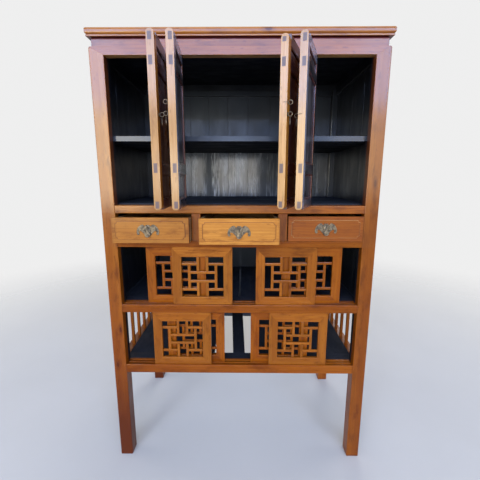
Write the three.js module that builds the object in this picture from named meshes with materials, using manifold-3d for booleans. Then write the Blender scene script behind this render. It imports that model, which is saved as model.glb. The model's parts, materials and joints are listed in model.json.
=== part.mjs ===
// Food cabinet in varnished pine: a cupboard with four pivoting leaves, three drawers,
// and two rows of sliding lattice panels, on four square posts.
// Millimetres, X to the right, Y to the back, Z up.
// At rest the doors, drawers and panels stand partly open. The origin is on the ground,
// under the middle of the space that the cabinet takes up with its doors so.
import * as THREE from "three";
import { mergeVertices } from "three/addons/utils/BufferGeometryUtils.js";
import Module from "manifold-3d";

// Outer size and posts
const cabinetWidth = 1100;
const cabinetDepth = 600;
const postSide = 54;

// Heights of the front, from the ground up
const legHeight = 423;
const lowRailHeight = 39.5;
const lowRowHeight = 243;
const midRailHeight = 36.5;
const highRowHeight = 248;
const deckRailHeight = 27;
const drawerBayHeight = 110.5;
const waistRailHeight = 32;
const cupboardHeight = 547;
const topRailHeight = 28.5;
const friezeHeight = 31;

// Cap and frieze
const capNeckHeight = 1.5;
const capFilletHeight = 6;
const capBoardHeight = 24.5;
const capOverhang = 7;
const capFilletOverhang = 4;
const capNeckInset = 14;
const capEdgeRadius = 9;
const friezeInset = 9;
const friezeBoard = 22;

// Rails, mullions and boards
const topRailDepth = 30;
const plainRailDepth = 44;
const trackRailDepth = 50;
const sideRailDepth = 34;
const mullionWidth = 26;
const mullionDepth = 29;
const mullionSetback = 3;
const mullionEdgeRadius = 9;
const boardThickness = 12;
const boardInset = 12;
const sideRailInset = 3;
const floorStep = 5;
const shelfThickness = 20;
const shelfDrop = 278.5;
const partitionFromMiddle = 173.5;
const partitionFaceWidth = 36;
const partitionBoard = 12;

// Spindles of the lower side openings
const spindleCount = 6;
const spindleSide = 13;
const spindleInset = 19;

// Floors of the two sliding rows
const battenWidth = 46;
const rearBattenWidth = 20;
const highFloorSlit = 9;
const slatRearLeft = -50;
const slatRearRight = 14;
const slatFrontLeft = -30;
const slatFrontRight = 25;
const lowFloorGapLeft = -118;
const lowFloorGapRight = 92;

// Door leaves
const leafThickness = 24;
const leafHingeGap = 1.5;
const leafFreeGap = 2;
const leafRise = 2;
const leafStile = 32;
const leafTopRail = 35;
const leafTopPanel = 36;
const leafSecondRail = 33;
const leafThirdRail = 36;
const leafLowPanel = 86;
const leafBottomRail = 32;
const leafRecess = 6;
const pinRadius = 6;
const pinReach = 9;
const pinClearance = 0.6;
const seatGap = 0.3;

// How far each leaf stands open, from left to right
const leafATurnDegrees = 92.5;
const leafBTurnDegrees = 86;
const leafCTurnDegrees = 68;
const leafDTurnDegrees = 110.5;

// Rings and drops of the leaves
const ringRadius = 6.5;
const ringWire = 1.2;
const ringStandoff = 8.9;
const rosetteRadius = 7;
const rosetteThickness = 1.5;
const dropEyeRadius = 4;
const dropEyeHole = 2.4;
const dropHang = 0.5;
const dropThickness = 2;
const leafDropLength = 27;
const leafDropHalfWidth = 4.5;
const leafRingHeight = 303;
const lockRingHeight = 338;
const innerRingFromEdge = 9;
const outerRingFromEdge = 25;

// Drawers
const drawerSetback = 2;
const drawerSideGap = 2.5;
const drawerHeight = 100;
const drawerLength = 470;
const drawerFront = 18;
const drawerField = 2.5;
const drawerFieldMargin = 15;
const drawerWall = 10;
const drawerFloor = 8;
const drawerFloorRise = 6;
const drawerWallDrop = 6;
const drawerOneOut = 52;
const drawerTwoOut = 78;
const drawerThreeOut = 8;

// Bat plates and drops of the drawers
const batHalfWidth = 44;
const batHeight = 50;
const batThickness = 2;
const batRise = 4;
const drawerDropLength = 34;
const drawerDropHalfWidth = 13;
const drawerRingRise = 12;
const plateOneShift = -8;

// Sliding lattice panels
const panelOverlap = 0.5;
const panelThickness = 14;
const panelStile = 37;
const panelTopRail = 49;
const panelBottomRail = 36.5;
const trackLip = 7.5;
const trackWall = 3;
const trackClearance = 0.5;
const panelInTop = 6;
const panelInBottom = 4;
const trackTopDepth = 9;
const latticeBar = 9.5;
const latticeBarDepth = 8;
const latticeSetback = 3;

// Where the left edge of each panel stands, as shares of the way from the middle to a post
const highPanelShares = { far_left: -0.787, near_left: -0.56, near_right: 0.139, far_right: 0.358 };
const lowPanelShares = { far_left: -0.633, near_left: -0.747, near_right: 0.259, far_right: 0.1 };

// Places of the lattice bars in the panel's window, as shares of its width and height
const outerBarShare = 0.18;
const innerBarShare = 0.39;

// Shape of a drop: where its sides leave the eye, as shares of the eye's radius, and how far
// its curves are drawn out, as shares of its half width and its length
const dropNeckShare = 0.6;
const dropNeckFallShare = 0.8;
const dropShoulderShare = 0.5;
const dropBellyShare = 1.6;
const dropWaistShare = 0.45;

// Half outline of the bat plate, from the notch on the head to the point of the body,
// as shares of its half width and of its height
const batOutlineShares = [
  [0, 0.3],
  [0.1, 0.42],
  [0.16, 0.3],
  [0.34, 0.4],
  [0.58, 0.4],
  [0.82, 0.26],
  [0.97, 0.02],
  [1, -0.24],
  [0.9, -0.52],
  [0.8, -0.5],
  [0.84, -0.3],
  [0.66, -0.2],
  [0.5, -0.3],
  [0.36, -0.26],
  [0.24, -0.5],
  [0, -0.6],
];

// Counts of facets
const pinSides = 12;
const ringSides = 6;
const ringSteps = 14;
const curveSteps = 5;
const hingeEdgeSteps = 8;
const capEdgeSteps = 3;

// One overrun serves every cut
const cutOverrun = 2;

const pine = { color: 0xb5712f, roughness: 0.42, metalness: 0 };
const blackLacquer = { color: 0x1b1a1d, roughness: 0.4, metalness: 0 };
const agedBrass = { color: 0x6d6656, roughness: 0.5, metalness: 0.9 };

// Levels and planes worked out from the sizes above
const halfWidth = cabinetWidth / 2;
const frontY = -cabinetDepth / 2;
const backY = cabinetDepth / 2;
const openingHalf = halfWidth - postSide;
const lowRailTop = legHeight + lowRailHeight;
const midRailBottom = lowRailTop + lowRowHeight;
const midRailTop = midRailBottom + midRailHeight;
const deckRailBottom = midRailTop + highRowHeight;
const deckRailTop = deckRailBottom + deckRailHeight;
const waistRailBottom = deckRailTop + drawerBayHeight;
const waistRailTop = waistRailBottom + waistRailHeight;
const topRailBottom = waistRailTop + cupboardHeight;
const topRailTop = topRailBottom + topRailHeight;
const friezeTop = topRailTop + friezeHeight;
const postFrontInner = frontY + postSide;
const postBackInner = backY - postSide;
const sideBoardInner = halfWidth - boardInset - boardThickness;
const sideRailOuter = halfWidth - sideRailInset;
const sideRailInner = sideRailOuter - sideRailDepth;
const backBoardInner = backY - boardInset - boardThickness;
const backRailOuter = backY - sideRailInset;
const backRailInner = backRailOuter - sideRailDepth;

const wasm = await Module();
wasm.setup();
const cabinet = new THREE.Group();

// A closed geometry as a solid that can be joined and cut.
function solidOf(geometry) {
  const bare = geometry.clone();
  bare.deleteAttribute("normal");
  bare.deleteAttribute("uv");
  const merged = mergeVertices(bare);
  return new wasm.Manifold(
    new wasm.Mesh({
      numProp: 3,
      vertProperties: merged.attributes.position.array,
      triVerts: new Uint32Array(merged.index.array),
    }),
  );
}

// A rectangular block between two corners.
function block(x0, x1, y0, y1, z0, z1) {
  const box = new THREE.BoxGeometry(x1 - x0, y1 - y0, z1 - z0);
  return solidOf(box.translate((x0 + x1) / 2, (y0 + y1) / 2, (z0 + z1) / 2));
}

// An upright prism of an outline in X and Y.
function uprightPrism(shape, z0, z1) {
  const settings = { depth: z1 - z0, bevelEnabled: false, curveSegments: curveSteps };
  return solidOf(new THREE.ExtrudeGeometry(shape, settings).translate(0, 0, z0));
}

// A flat plate of an outline in X and Z, with its thickness from y0 to y1.
function facingPlate(shape, y0, y1) {
  const settings = { depth: y1 - y0, bevelEnabled: false, curveSegments: curveSteps };
  const plate = new THREE.ExtrudeGeometry(shape, settings).rotateX(Math.PI / 2);
  return solidOf(plate.translate(0, y1, 0));
}

// An upright round peg.
function peg(radius, x, y, z0, z1) {
  const round = new THREE.CylinderGeometry(radius, radius, z1 - z0, pinSides);
  return solidOf(round.rotateX(Math.PI / 2).translate(x, y, (z0 + z1) / 2));
}

// All solids of a list joined into one.
function joined(solids) {
  return solids.reduce((whole, next) => whole.add(next));
}

// The mesh of a solid under its name, put into a group.
function place(name, solid, finish, group = cabinet) {
  const found = solid.getMesh();
  const geometry = new THREE.BufferGeometry();
  geometry.setAttribute("position", new THREE.BufferAttribute(found.vertProperties, found.numProp));
  geometry.setIndex(new THREE.BufferAttribute(found.triVerts, 1));
  geometry.computeVertexNormals();
  const mesh = new THREE.Mesh(geometry, new THREE.MeshStandardMaterial(finish));
  mesh.name = name;
  group.add(mesh);
  return mesh;
}

// Posts
function addPosts() {
  const columns = { left: -halfWidth, right: openingHalf };
  const lines = { front: frontY, rear: postBackInner };
  for (const [line, y] of Object.entries(lines)) {
    for (const [side, x] of Object.entries(columns)) {
      const post = block(x, x + postSide, y, y + postSide, 0, topRailTop);
      place(`post_${line}_${side}`, post, pine);
    }
  }
}

// Cap with its rounded edge, fillet and neck
function addCap() {
  const neckTop = friezeTop + capNeckHeight;
  const boardBottom = neckTop + capFilletHeight;
  const slab = (overhang, z0, z1) =>
    block(-halfWidth - overhang, halfWidth + overhang, frontY - overhang, backY + overhang, z0, z1);
  const coreX = halfWidth + capOverhang - capEdgeRadius;
  const coreY = backY + capOverhang - capEdgeRadius;
  const core = new THREE.Shape();
  core.moveTo(-coreX, -coreY);
  core.lineTo(coreX, -coreY);
  core.lineTo(coreX, coreY);
  core.lineTo(-coreX, coreY);
  core.closePath();
  const board = new THREE.ExtrudeGeometry(core, {
    depth: capBoardHeight - 2 * capEdgeRadius,
    bevelThickness: capEdgeRadius,
    bevelSize: capEdgeRadius,
    bevelSegments: capEdgeSteps,
  });
  const cap = joined([
    solidOf(board.translate(0, 0, boardBottom + capEdgeRadius)),
    slab(capFilletOverhang, neckTop, boardBottom),
    slab(-capNeckInset, friezeTop, neckTop),
  ]);
  place("cap", cap, pine);
}

// Frieze, a frame of four boards between the posts and the cap
function addFrieze() {
  const slab = (inset, z0, z1) =>
    block(-halfWidth + inset, halfWidth - inset, frontY + inset, backY - inset, z0, z1);
  const hollow = slab(friezeInset + friezeBoard, topRailTop - cutOverrun, friezeTop + cutOverrun);
  place("frieze", slab(friezeInset, topRailTop, friezeTop).subtract(hollow), pine);
}

// Sockets in a rail for the pins of the four leaves
function sockets(z0, z1) {
  return joined(leaves.map((leaf) => peg(pinRadius + pinClearance, leaf.axisX, leafAxisY, z0, z1)));
}

// Grooves along a rail for the two tracks of sliding panels
function grooves(z0, z1) {
  const reach = openingHalf + cutOverrun;
  const cuts = [nearTrackY, farTrackY].map((y) =>
    block(-reach, reach, y - trackClearance, y + panelThickness + trackClearance, z0, z1),
  );
  return joined(cuts);
}

// Front rails from the lowest to the highest
function addFrontRails() {
  const rail = (depth, z0, z1) => block(-openingHalf, openingHalf, frontY, frontY + depth, z0, z1);
  const lowCut = grooves(lowRailTop - panelInBottom - seatGap, lowRailTop + cutOverrun);
  const midTopCut = grooves(midRailTop - panelInBottom - seatGap, midRailTop + cutOverrun);
  const midBottomCut = grooves(midRailBottom - cutOverrun, midRailBottom + trackTopDepth);
  const deckCut = grooves(deckRailBottom - cutOverrun, deckRailBottom + trackTopDepth);
  const lowSockets = sockets(waistRailTop - pinReach, waistRailTop + cutOverrun);
  const highSockets = sockets(topRailBottom - cutOverrun, topRailBottom + pinReach + pinClearance);
  const low = rail(trackRailDepth, legHeight, lowRailTop).subtract(lowCut);
  const mid = rail(trackRailDepth, midRailBottom, midRailTop).subtract(midTopCut).subtract(midBottomCut);
  const deck = rail(trackRailDepth, deckRailBottom, deckRailTop).subtract(deckCut);
  const waist = rail(plainRailDepth, waistRailBottom, waistRailTop).subtract(lowSockets);
  const top = rail(topRailDepth, topRailBottom, topRailTop).subtract(highSockets);
  place("rail_low", low, pine);
  place("rail_mid", mid, pine);
  place("rail_deck", deck, pine);
  place("rail_waist", waist, pine);
  place("rail_top", top, pine);
}

// Outline of a mullion with rounded front edges, which let the leaves swing past it
function mullionOutline(x) {
  const half = mullionWidth / 2;
  const front = frontY + mullionSetback;
  const core = half - mullionEdgeRadius;
  const arcY = front + mullionEdgeRadius;
  const outline = new THREE.Shape();
  outline.moveTo(x + half, mullionBackY);
  outline.lineTo(x - half, mullionBackY);
  outline.absarc(x - core, arcY, mullionEdgeRadius, Math.PI, Math.PI * 1.5, false);
  outline.absarc(x + core, arcY, mullionEdgeRadius, Math.PI * 1.5, Math.PI * 2, false);
  outline.closePath();
  return outline;
}

// Mullions between the doors, and partitions between the drawers
function addUprights() {
  for (const [side, sign] of Object.entries({ left: -1, right: 1 })) {
    const x = sign * mullionX;
    const mullion = uprightPrism(mullionOutline(x), waistRailTop, topRailBottom);
    place(`mullion_${side}`, mullion, pine);
    const partition = joined([
      block(
        sign * partitionFromMiddle - partitionFaceWidth / 2,
        sign * partitionFromMiddle + partitionFaceWidth / 2,
        frontY,
        frontY + plainRailDepth,
        deckRailTop,
        waistRailBottom,
      ),
      block(
        sign * partitionFromMiddle - partitionBoard / 2,
        sign * partitionFromMiddle + partitionBoard / 2,
        frontY + plainRailDepth,
        backRailInner,
        deckRailTop,
        waistRailBottom,
      ),
    ]);
    place(`drawer_partition_${side}`, partition, pine);
  }
}

// Sides: a boarded upper part, a boarded middle, and spindles over the low rail
function addSides() {
  for (const [side, sign] of Object.entries({ left: -1, right: 1 })) {
    const strip = (outer, inner, z0, z1) =>
      block(
        Math.min(sign * outer, sign * inner),
        Math.max(sign * outer, sign * inner),
        postFrontInner,
        postBackInner,
        z0,
        z1,
      );
    const rail = (z0, z1) => strip(sideRailOuter, sideRailInner, z0, z1);
    const board = (z0, z1) => strip(halfWidth - boardInset, sideBoardInner, z0, z1);
    const upper = [
      board(deckRailTop, topRailTop),
      rail(waistRailBottom, waistRailTop),
      rail(topRailBottom, topRailTop),
    ];
    const middle = [
      board(midRailBottom, deckRailTop),
      rail(midRailBottom, midRailTop),
      rail(deckRailBottom, deckRailTop),
    ];
    const lower = [rail(legHeight, lowRailTop)];
    const pitch = (postBackInner - postFrontInner) / spindleCount;
    const spindleX = sign * (halfWidth - spindleInset - spindleSide / 2);
    for (let i = 0; i < spindleCount; i++) {
      const y = postFrontInner + pitch * (i + 1 / 2);
      const half = spindleSide / 2;
      lower.push(
        block(spindleX - half, spindleX + half, y - half, y + half, lowRailTop - cutOverrun, midRailBottom),
      );
    }
    place(`side_upper_${side}`, joined(upper), pine);
    place(`side_middle_${side}`, joined(middle), pine);
    place(`side_lower_${side}`, joined(lower), pine);
  }
}

// Back in three boarded parts
function addBack() {
  const rail = (z0, z1) => block(-openingHalf, openingHalf, backRailInner, backRailOuter, z0, z1);
  const board = (z0, z1) => block(-openingHalf, openingHalf, backBoardInner, backY - boardInset, z0, z1);
  const upper = [
    board(deckRailTop, topRailTop),
    rail(waistRailBottom, waistRailTop),
    rail(topRailBottom, topRailTop),
  ];
  const middle = [board(midRailTop, deckRailTop), rail(deckRailBottom, deckRailTop)];
  const lower = [board(legHeight, midRailTop), rail(legHeight, lowRailTop), rail(midRailBottom, midRailTop)];
  place("back_upper", joined(upper), blackLacquer);
  place("back_middle", joined(middle), blackLacquer);
  place("back_lower", joined(lower), blackLacquer);
}

// A board across the cabinet behind the front, reaching between the front posts and between the rear posts
function deck(front, sideInner, rear, z0, z1) {
  const parts = [block(-sideInner, sideInner, postFrontInner, postBackInner, z0, z1)];
  if (front < postFrontInner) parts.push(block(-openingHalf, openingHalf, front, postFrontInner, z0, z1));
  if (rear > postBackInner) parts.push(block(-openingHalf, openingHalf, postBackInner, rear, z0, z1));
  return joined(parts);
}

// Shelf, cupboard floor and the deck that carries the drawers
function addDecks() {
  const shelfTop = topRailBottom - shelfDrop;
  const shelf = deck(mullionBackY, sideBoardInner, backBoardInner, shelfTop - shelfThickness, shelfTop);
  place("shelf", shelf, blackLacquer);
  const behindPlain = frontY + plainRailDepth;
  const floorBottom = waistRailTop - boardThickness;
  const underFloor = deck(behindPlain, sideRailInner, backRailInner, floorBottom, waistRailTop);
  const floorTop = waistRailTop + floorStep;
  const overRails = deck(behindPlain, sideBoardInner, backBoardInner, waistRailTop, floorTop);
  place("cupboard_floor", underFloor.add(overRails), blackLacquer);
  const behindTrack = frontY + trackRailDepth;
  const deckBottom = deckRailTop - boardThickness;
  const drawerDeck = deck(behindTrack, sideRailInner, backRailInner, deckBottom, deckRailTop);
  place("drawer_deck", drawerDeck, pine);
}

// Floors of the sliding rows: the upper one has a slit in the middle, the lower one is open
// on both sides of a slat that runs a little askew
function addRowFloors() {
  const front = frontY + trackRailDepth;
  const battenBack = front + battenWidth;
  const highSlit = block(
    -highFloorSlit / 2,
    highFloorSlit / 2,
    battenBack,
    backRailInner - rearBattenWidth,
    midRailTop - boardThickness - cutOverrun,
    midRailTop + cutOverrun,
  );
  const highFloor = deck(front, sideRailInner, backRailInner, midRailTop - boardThickness, midRailTop);
  place("high_row_floor", highFloor.subtract(highSlit), blackLacquer);
  const lowBottom = lowRailTop - boardThickness;
  const rearBattenFront = backRailInner - rearBattenWidth;
  const opening = block(
    lowFloorGapLeft,
    lowFloorGapRight,
    battenBack,
    rearBattenFront,
    lowBottom - cutOverrun,
    lowRailTop + cutOverrun,
  );
  const slat = new THREE.Shape();
  slat.moveTo(slatFrontLeft, battenBack - cutOverrun);
  slat.lineTo(slatFrontRight, battenBack - cutOverrun);
  slat.lineTo(slatRearRight, rearBattenFront + cutOverrun);
  slat.lineTo(slatRearLeft, rearBattenFront + cutOverrun);
  slat.closePath();
  const lowFloor = deck(front, sideRailInner, backRailInner, lowBottom, lowRailTop);
  const withSlat = lowFloor.subtract(opening).add(uprightPrism(slat, lowBottom, lowRailTop));
  place("low_row_floor", withSlat, blackLacquer);
}

// Ring on a shank and a rosette, standing out from a face at Y zero, with its middle at the standoff
function ringOnPlate(plate) {
  const torus = new THREE.TorusGeometry(ringRadius, ringWire, ringSides, ringSteps).rotateY(Math.PI / 2);
  const ring = solidOf(torus.translate(0, -ringStandoff, 0));
  const shankFront = -ringStandoff + ringRadius;
  const shank = block(-ringWire, ringWire, shankFront, -plate.thickness / 2, -ringWire, ringWire);
  return joined([ring, shank, plate.solid]);
}

// Rosette behind a ring
function rosette() {
  const disc = new THREE.CylinderGeometry(rosetteRadius, rosetteRadius, rosetteThickness, pinSides);
  const solid = solidOf(disc.translate(0, -rosetteThickness / 2, 0));
  return { solid, thickness: rosetteThickness };
}

// Drop that hangs on a ring: an eye round the wire, and a long or wide teardrop below it
function drop(length, halfBelly) {
  const outline = new THREE.Shape();
  const neck = dropEyeRadius * dropNeckShare;
  const neckZ = -dropEyeRadius * dropNeckFallShare;
  const neckTurn = Math.atan2(neckZ, neck);
  const shoulder = halfBelly * dropShoulderShare;
  const belly = halfBelly * dropBellyShare;
  const waistZ = -length * dropWaistShare;
  outline.moveTo(neck, neckZ);
  outline.absarc(0, 0, dropEyeRadius, neckTurn, Math.PI - neckTurn, false);
  outline.bezierCurveTo(-shoulder, waistZ, -belly, -length, 0, -length);
  outline.bezierCurveTo(belly, -length, shoulder, waistZ, neck, neckZ);
  const eye = new THREE.Path();
  eye.absarc(0, 0, dropEyeHole, 0, Math.PI * 2, true);
  outline.holes.push(eye);
  return facingPlate(outline, -dropThickness / 2, dropThickness / 2);
}

// Height of a drop's eye under the middle of the ring that it hangs on
const dropEyeFall = ringRadius - ringWire - dropHang + dropEyeHole;

// Levels of the four rails of a leaf, from its bottom
function leafRailLevels() {
  const topOfMain = leafHeight - leafTopRail - leafTopPanel - leafSecondRail;
  return {
    lowPanel: [leafBottomRail, leafBottomRail + leafLowPanel],
    mainPanel: [leafBottomRail + leafLowPanel + leafThirdRail, topOfMain],
    topPanel: [leafHeight - leafTopRail - leafTopPanel, leafHeight - leafTopRail],
  };
}

// A leaf that reaches to the right of its pivot, closed, with its bottom at Z zero
function leafSolid() {
  const half = leafThickness / 2;
  const free = leafWidth - half;
  const outline = new THREE.Shape();
  outline.moveTo(0, -half);
  outline.lineTo(free, -half);
  outline.lineTo(free, half);
  outline.lineTo(0, half);
  for (let i = 1; i < hingeEdgeSteps; i++) {
    const turn = Math.PI / 2 + (Math.PI * i) / hingeEdgeSteps;
    outline.lineTo(half * Math.cos(turn), half * Math.sin(turn));
  }
  outline.closePath();
  let leaf = uprightPrism(outline, 0, leafHeight);
  for (const [z0, z1] of Object.values(leafRailLevels())) {
    const x0 = leafStile - half;
    const x1 = free - leafStile;
    leaf = leaf.subtract(block(x0, x1, -half - cutOverrun, -half + leafRecess, z0, z1));
    leaf = leaf.subtract(block(x0, x1, half - leafRecess, half + cutOverrun, z0, z1));
  }
  const bottomPin = peg(pinRadius, 0, 0, -leafRise - pinReach + seatGap, cutOverrun);
  const topPin = peg(pinRadius, 0, 0, leafHeight - cutOverrun, leafHeight + leafRise + pinReach);
  return joined([leaf, bottomPin, topPin]);
}

// A leaf with its ring, lock ring and drop, hung on its pivot and turned open
function addLeaf(leaf) {
  const pivot = new THREE.Group();
  pivot.position.set(leaf.axisX, leafAxisY, waistRailTop + leafRise);
  pivot.rotation.z = THREE.MathUtils.degToRad(-leaf.sign * leaf.opening);
  cabinet.add(pivot);
  const turned = leaf.sign > 0 ? leafSolid() : leafSolid().mirror([1, 0, 0]);
  place(`leaf_${leaf.name}`, turned, pine, pivot);
  const fromEdge = leaf.locks ? innerRingFromEdge : outerRingFromEdge;
  const ringX = leaf.sign * (leafWidth - leafThickness / 2 - fromEdge);
  const faceY = -leafThickness / 2;
  const ring = place(`leaf_${leaf.name}_ring`, ringOnPlate(rosette()), agedBrass, pivot);
  ring.position.set(ringX, faceY, leafRingHeight);
  const hanging = drop(leafDropLength, leafDropHalfWidth);
  const pendant = place(`leaf_${leaf.name}_drop`, hanging, agedBrass, pivot);
  pendant.position.set(ringX, faceY - ringStandoff, leafRingHeight - dropEyeFall);
  if (leaf.locks) {
    const lock = place(`leaf_${leaf.name}_lock_ring`, ringOnPlate(rosette()), agedBrass, pivot);
    lock.position.set(ringX, faceY, lockRingHeight);
  }
}

// Bat plate on a drawer
function batPlate() {
  const outline = new THREE.Shape();
  batOutlineShares.forEach(([across, up], i) => {
    const point = [across * batHalfWidth, up * batHeight];
    if (i === 0) outline.moveTo(...point);
    else outline.lineTo(...point);
  });
  for (const [across, up] of batOutlineShares.slice(1, -1).reverse()) {
    outline.lineTo(-across * batHalfWidth, up * batHeight);
  }
  outline.closePath();
  return { solid: facingPlate(outline, -batThickness, 0), thickness: batThickness };
}

// A drawer with its raised field, bat plate and drop
function addDrawer(drawer) {
  const half = drawer.bay / 2 - drawerSideGap;
  const y0 = frontY + drawerSetback - drawer.out;
  const z0 = deckRailTop + seatGap;
  const z1 = z0 + drawerHeight;
  const backEnd = y0 + drawerLength;
  const [x0, x1] = [drawer.x - half, drawer.x + half];
  const wallTop = z1 - drawerWallDrop;
  const margin = drawerFieldMargin;
  const faceY = y0 - drawerField;
  const box = joined([
    block(x0, x1, y0, y0 + drawerFront, z0, z1),
    block(x0 + margin, x1 - margin, faceY, y0 + drawerField, z0 + margin, z1 - margin),
    block(x0, x0 + drawerWall, y0, backEnd, z0, wallTop),
    block(x1 - drawerWall, x1, y0, backEnd, z0, wallTop),
    block(x0, x1, backEnd - drawerWall, backEnd, z0, wallTop),
    block(x0, x1, y0, backEnd, z0 + drawerFloorRise, z0 + drawerFloorRise + drawerFloor),
  ]);
  place(`drawer_${drawer.name}`, box, pine);
  const plateX = drawer.x + drawer.plateShift;
  const plateZ = (z0 + z1) / 2 + batRise;
  const plate = place(`drawer_${drawer.name}_plate`, batPlateWithRing(), agedBrass);
  plate.position.set(plateX, faceY, plateZ);
  const hanging = drop(drawerDropLength, drawerDropHalfWidth);
  const pendant = place(`drawer_${drawer.name}_drop`, hanging, agedBrass);
  pendant.position.set(plateX, faceY - ringStandoff, plateZ + drawerRingRise - dropEyeFall);
}

// Bat plate with the ring above its middle
function batPlateWithRing() {
  const plate = batPlate();
  const raised = { solid: plate.solid.translate([0, 0, -drawerRingRise]), thickness: plate.thickness };
  return ringOnPlate(raised).translate([0, 0, drawerRingRise]);
}

// A lattice panel from the middle of its bottom front edge
function latticeSolid(height) {
  const half = panelWidth / 2;
  const windowHalf = half - panelStile;
  const [z0, z1] = [panelBottomRail, height - panelTopRail];
  const across = (share) => -windowHalf + share * 2 * windowHalf;
  const up = (share) => z0 + share * (z1 - z0);
  const bar = latticeBar / 2;
  const [y0, y1] = [latticeSetback, latticeSetback + latticeBarDepth];
  const upright = (x, from, to) => block(across(x) - bar, across(x) + bar, y0, y1, from, to);
  const level = (z, from, to) => block(from, to, y0, y1, up(z) - bar, up(z) + bar);
  const board = block(-half, half, 0, panelThickness, 0, height);
  const window = block(-windowHalf, windowHalf, -cutOverrun, panelThickness + cutOverrun, z0, z1);
  const parts = [board.subtract(window)];
  const [a, b] = [outerBarShare, innerBarShare];
  for (const x of [b, 1 - b]) {
    parts.push(upright(x, z0 - cutOverrun, up(b)));
    parts.push(upright(x, up(1 - b), z1 + cutOverrun));
  }
  for (const x of [a, 1 - a]) parts.push(upright(x, up(a), up(1 - a)));
  for (const z of [b, 1 - b]) parts.push(level(z, across(a), across(1 - a)));
  for (const z of [a, 1 - a]) {
    parts.push(level(z, -windowHalf - cutOverrun, across(b)));
    parts.push(level(z, across(1 - b), windowHalf + cutOverrun));
  }
  return joined(parts);
}

// Four panels of a row: the near pair runs in the front track, the far pair in the rear track
function addPanelRow(row, edgeShares, railTop, openingHeight) {
  const height = openingHeight + panelInBottom + panelInTop;
  for (const [where, share] of Object.entries(edgeShares)) {
    const track = where.startsWith("near") ? nearTrackY : farTrackY;
    const panel = place(`panel_${row}_${where}`, latticeSolid(height), pine);
    panel.position.set(share * openingHalf + panelWidth / 2, track, railTop - panelInBottom);
  }
}

// Places that follow from the sizes of what they carry
const leafOpening = openingHalf / 2 - mullionWidth / 2;
const leafWidth = leafOpening - leafHingeGap - leafFreeGap;
const leafHeight = cupboardHeight - 2 * leafRise;
const leafAxisY = frontY + leafThickness / 2;
const mullionX = openingHalf / 2;
const mullionBackY = frontY + mullionSetback + mullionDepth;
const hingeOffset = mullionWidth / 2 + leafHingeGap + leafThickness / 2;
const panelWidth = openingHalf / 2 + panelOverlap;
const nearTrackY = frontY + trackLip;
const farTrackY = nearTrackY + panelThickness + 2 * trackClearance + trackWall;

// The leaves from left to right. Each reaches from its pivot towards the side that its sign
// gives, and the two in the middle lock together.
const leaves = [
  { name: "a", sign: -1, axisX: -mullionX - hingeOffset, opening: leafATurnDegrees, locks: false },
  { name: "b", sign: 1, axisX: -mullionX + hingeOffset, opening: leafBTurnDegrees, locks: true },
  { name: "c", sign: -1, axisX: mullionX - hingeOffset, opening: leafCTurnDegrees, locks: true },
  { name: "d", sign: 1, axisX: mullionX + hingeOffset, opening: leafDTurnDegrees, locks: false },
];

const middleBay = 2 * partitionFromMiddle - partitionFaceWidth;
const sideBay = openingHalf - partitionFromMiddle - partitionFaceWidth / 2;
const sideBayX = openingHalf - sideBay / 2;
const drawers = [
  { name: "one", x: -sideBayX, bay: sideBay, out: drawerOneOut, plateShift: plateOneShift },
  { name: "two", x: 0, bay: middleBay, out: drawerTwoOut, plateShift: 0 },
  { name: "three", x: sideBayX, bay: sideBay, out: drawerThreeOut, plateShift: 0 },
];

addPosts();
addCap();
addFrieze();
addFrontRails();
addUprights();
addSides();
addBack();
addDecks();
addRowFloors();
leaves.forEach(addLeaf);
drawers.forEach(addDrawer);
addPanelRow("high", highPanelShares, midRailTop, highRowHeight);
addPanelRow("low", lowPanelShares, lowRailTop, lowRowHeight);

// The origin goes under the middle of the whole space taken up
const taken = new THREE.Box3().setFromObject(cabinet, true);
const middle = taken.getCenter(new THREE.Vector3());
cabinet.position.set(-middle.x, -middle.y, -taken.min.z);

export default cabinet;
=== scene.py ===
# Food cabinet: boards, leaves, drawers, lattice panels and brass, built round the frame.
# Metres, X to the right, Y to the back, Z up.
import json
import math
import random

import bmesh
import bpy
from mathutils import Matrix, Vector


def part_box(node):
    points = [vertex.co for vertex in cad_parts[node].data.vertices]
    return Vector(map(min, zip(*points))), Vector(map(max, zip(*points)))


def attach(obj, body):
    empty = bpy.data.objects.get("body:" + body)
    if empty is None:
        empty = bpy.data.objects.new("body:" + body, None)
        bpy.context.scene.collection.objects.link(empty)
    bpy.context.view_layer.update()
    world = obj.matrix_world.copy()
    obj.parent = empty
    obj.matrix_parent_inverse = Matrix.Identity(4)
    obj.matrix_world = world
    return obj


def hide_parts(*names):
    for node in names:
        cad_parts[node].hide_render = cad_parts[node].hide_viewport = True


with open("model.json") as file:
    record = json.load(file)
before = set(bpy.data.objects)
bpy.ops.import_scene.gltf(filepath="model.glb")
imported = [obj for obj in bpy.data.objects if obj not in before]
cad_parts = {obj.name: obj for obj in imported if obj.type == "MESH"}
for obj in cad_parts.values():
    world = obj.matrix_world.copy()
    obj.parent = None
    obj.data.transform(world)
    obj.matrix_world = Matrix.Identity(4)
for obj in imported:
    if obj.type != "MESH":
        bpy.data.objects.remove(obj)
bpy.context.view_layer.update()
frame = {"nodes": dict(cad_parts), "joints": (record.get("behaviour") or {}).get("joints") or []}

MM = 0.001

# Planes of the case and the joints, read from the frame
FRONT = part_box("post_front_left")[0].y
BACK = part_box("post_rear_left")[1].y
HALF_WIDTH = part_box("post_front_right")[1].x
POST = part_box("post_front_left")[1].x + HALF_WIDTH
OPENING_HALF = HALF_WIDTH - POST
POST_BEHIND = FRONT + POST
REAR_POST_BEFORE = BACK - POST
RAILS = {name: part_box(f"rail_{name}") for name in ("low", "mid", "deck", "waist", "top")}
LEG_TOP = RAILS["low"][0].z
JOINTS = {joint["name"]: joint for joint in frame["joints"]}

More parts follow.
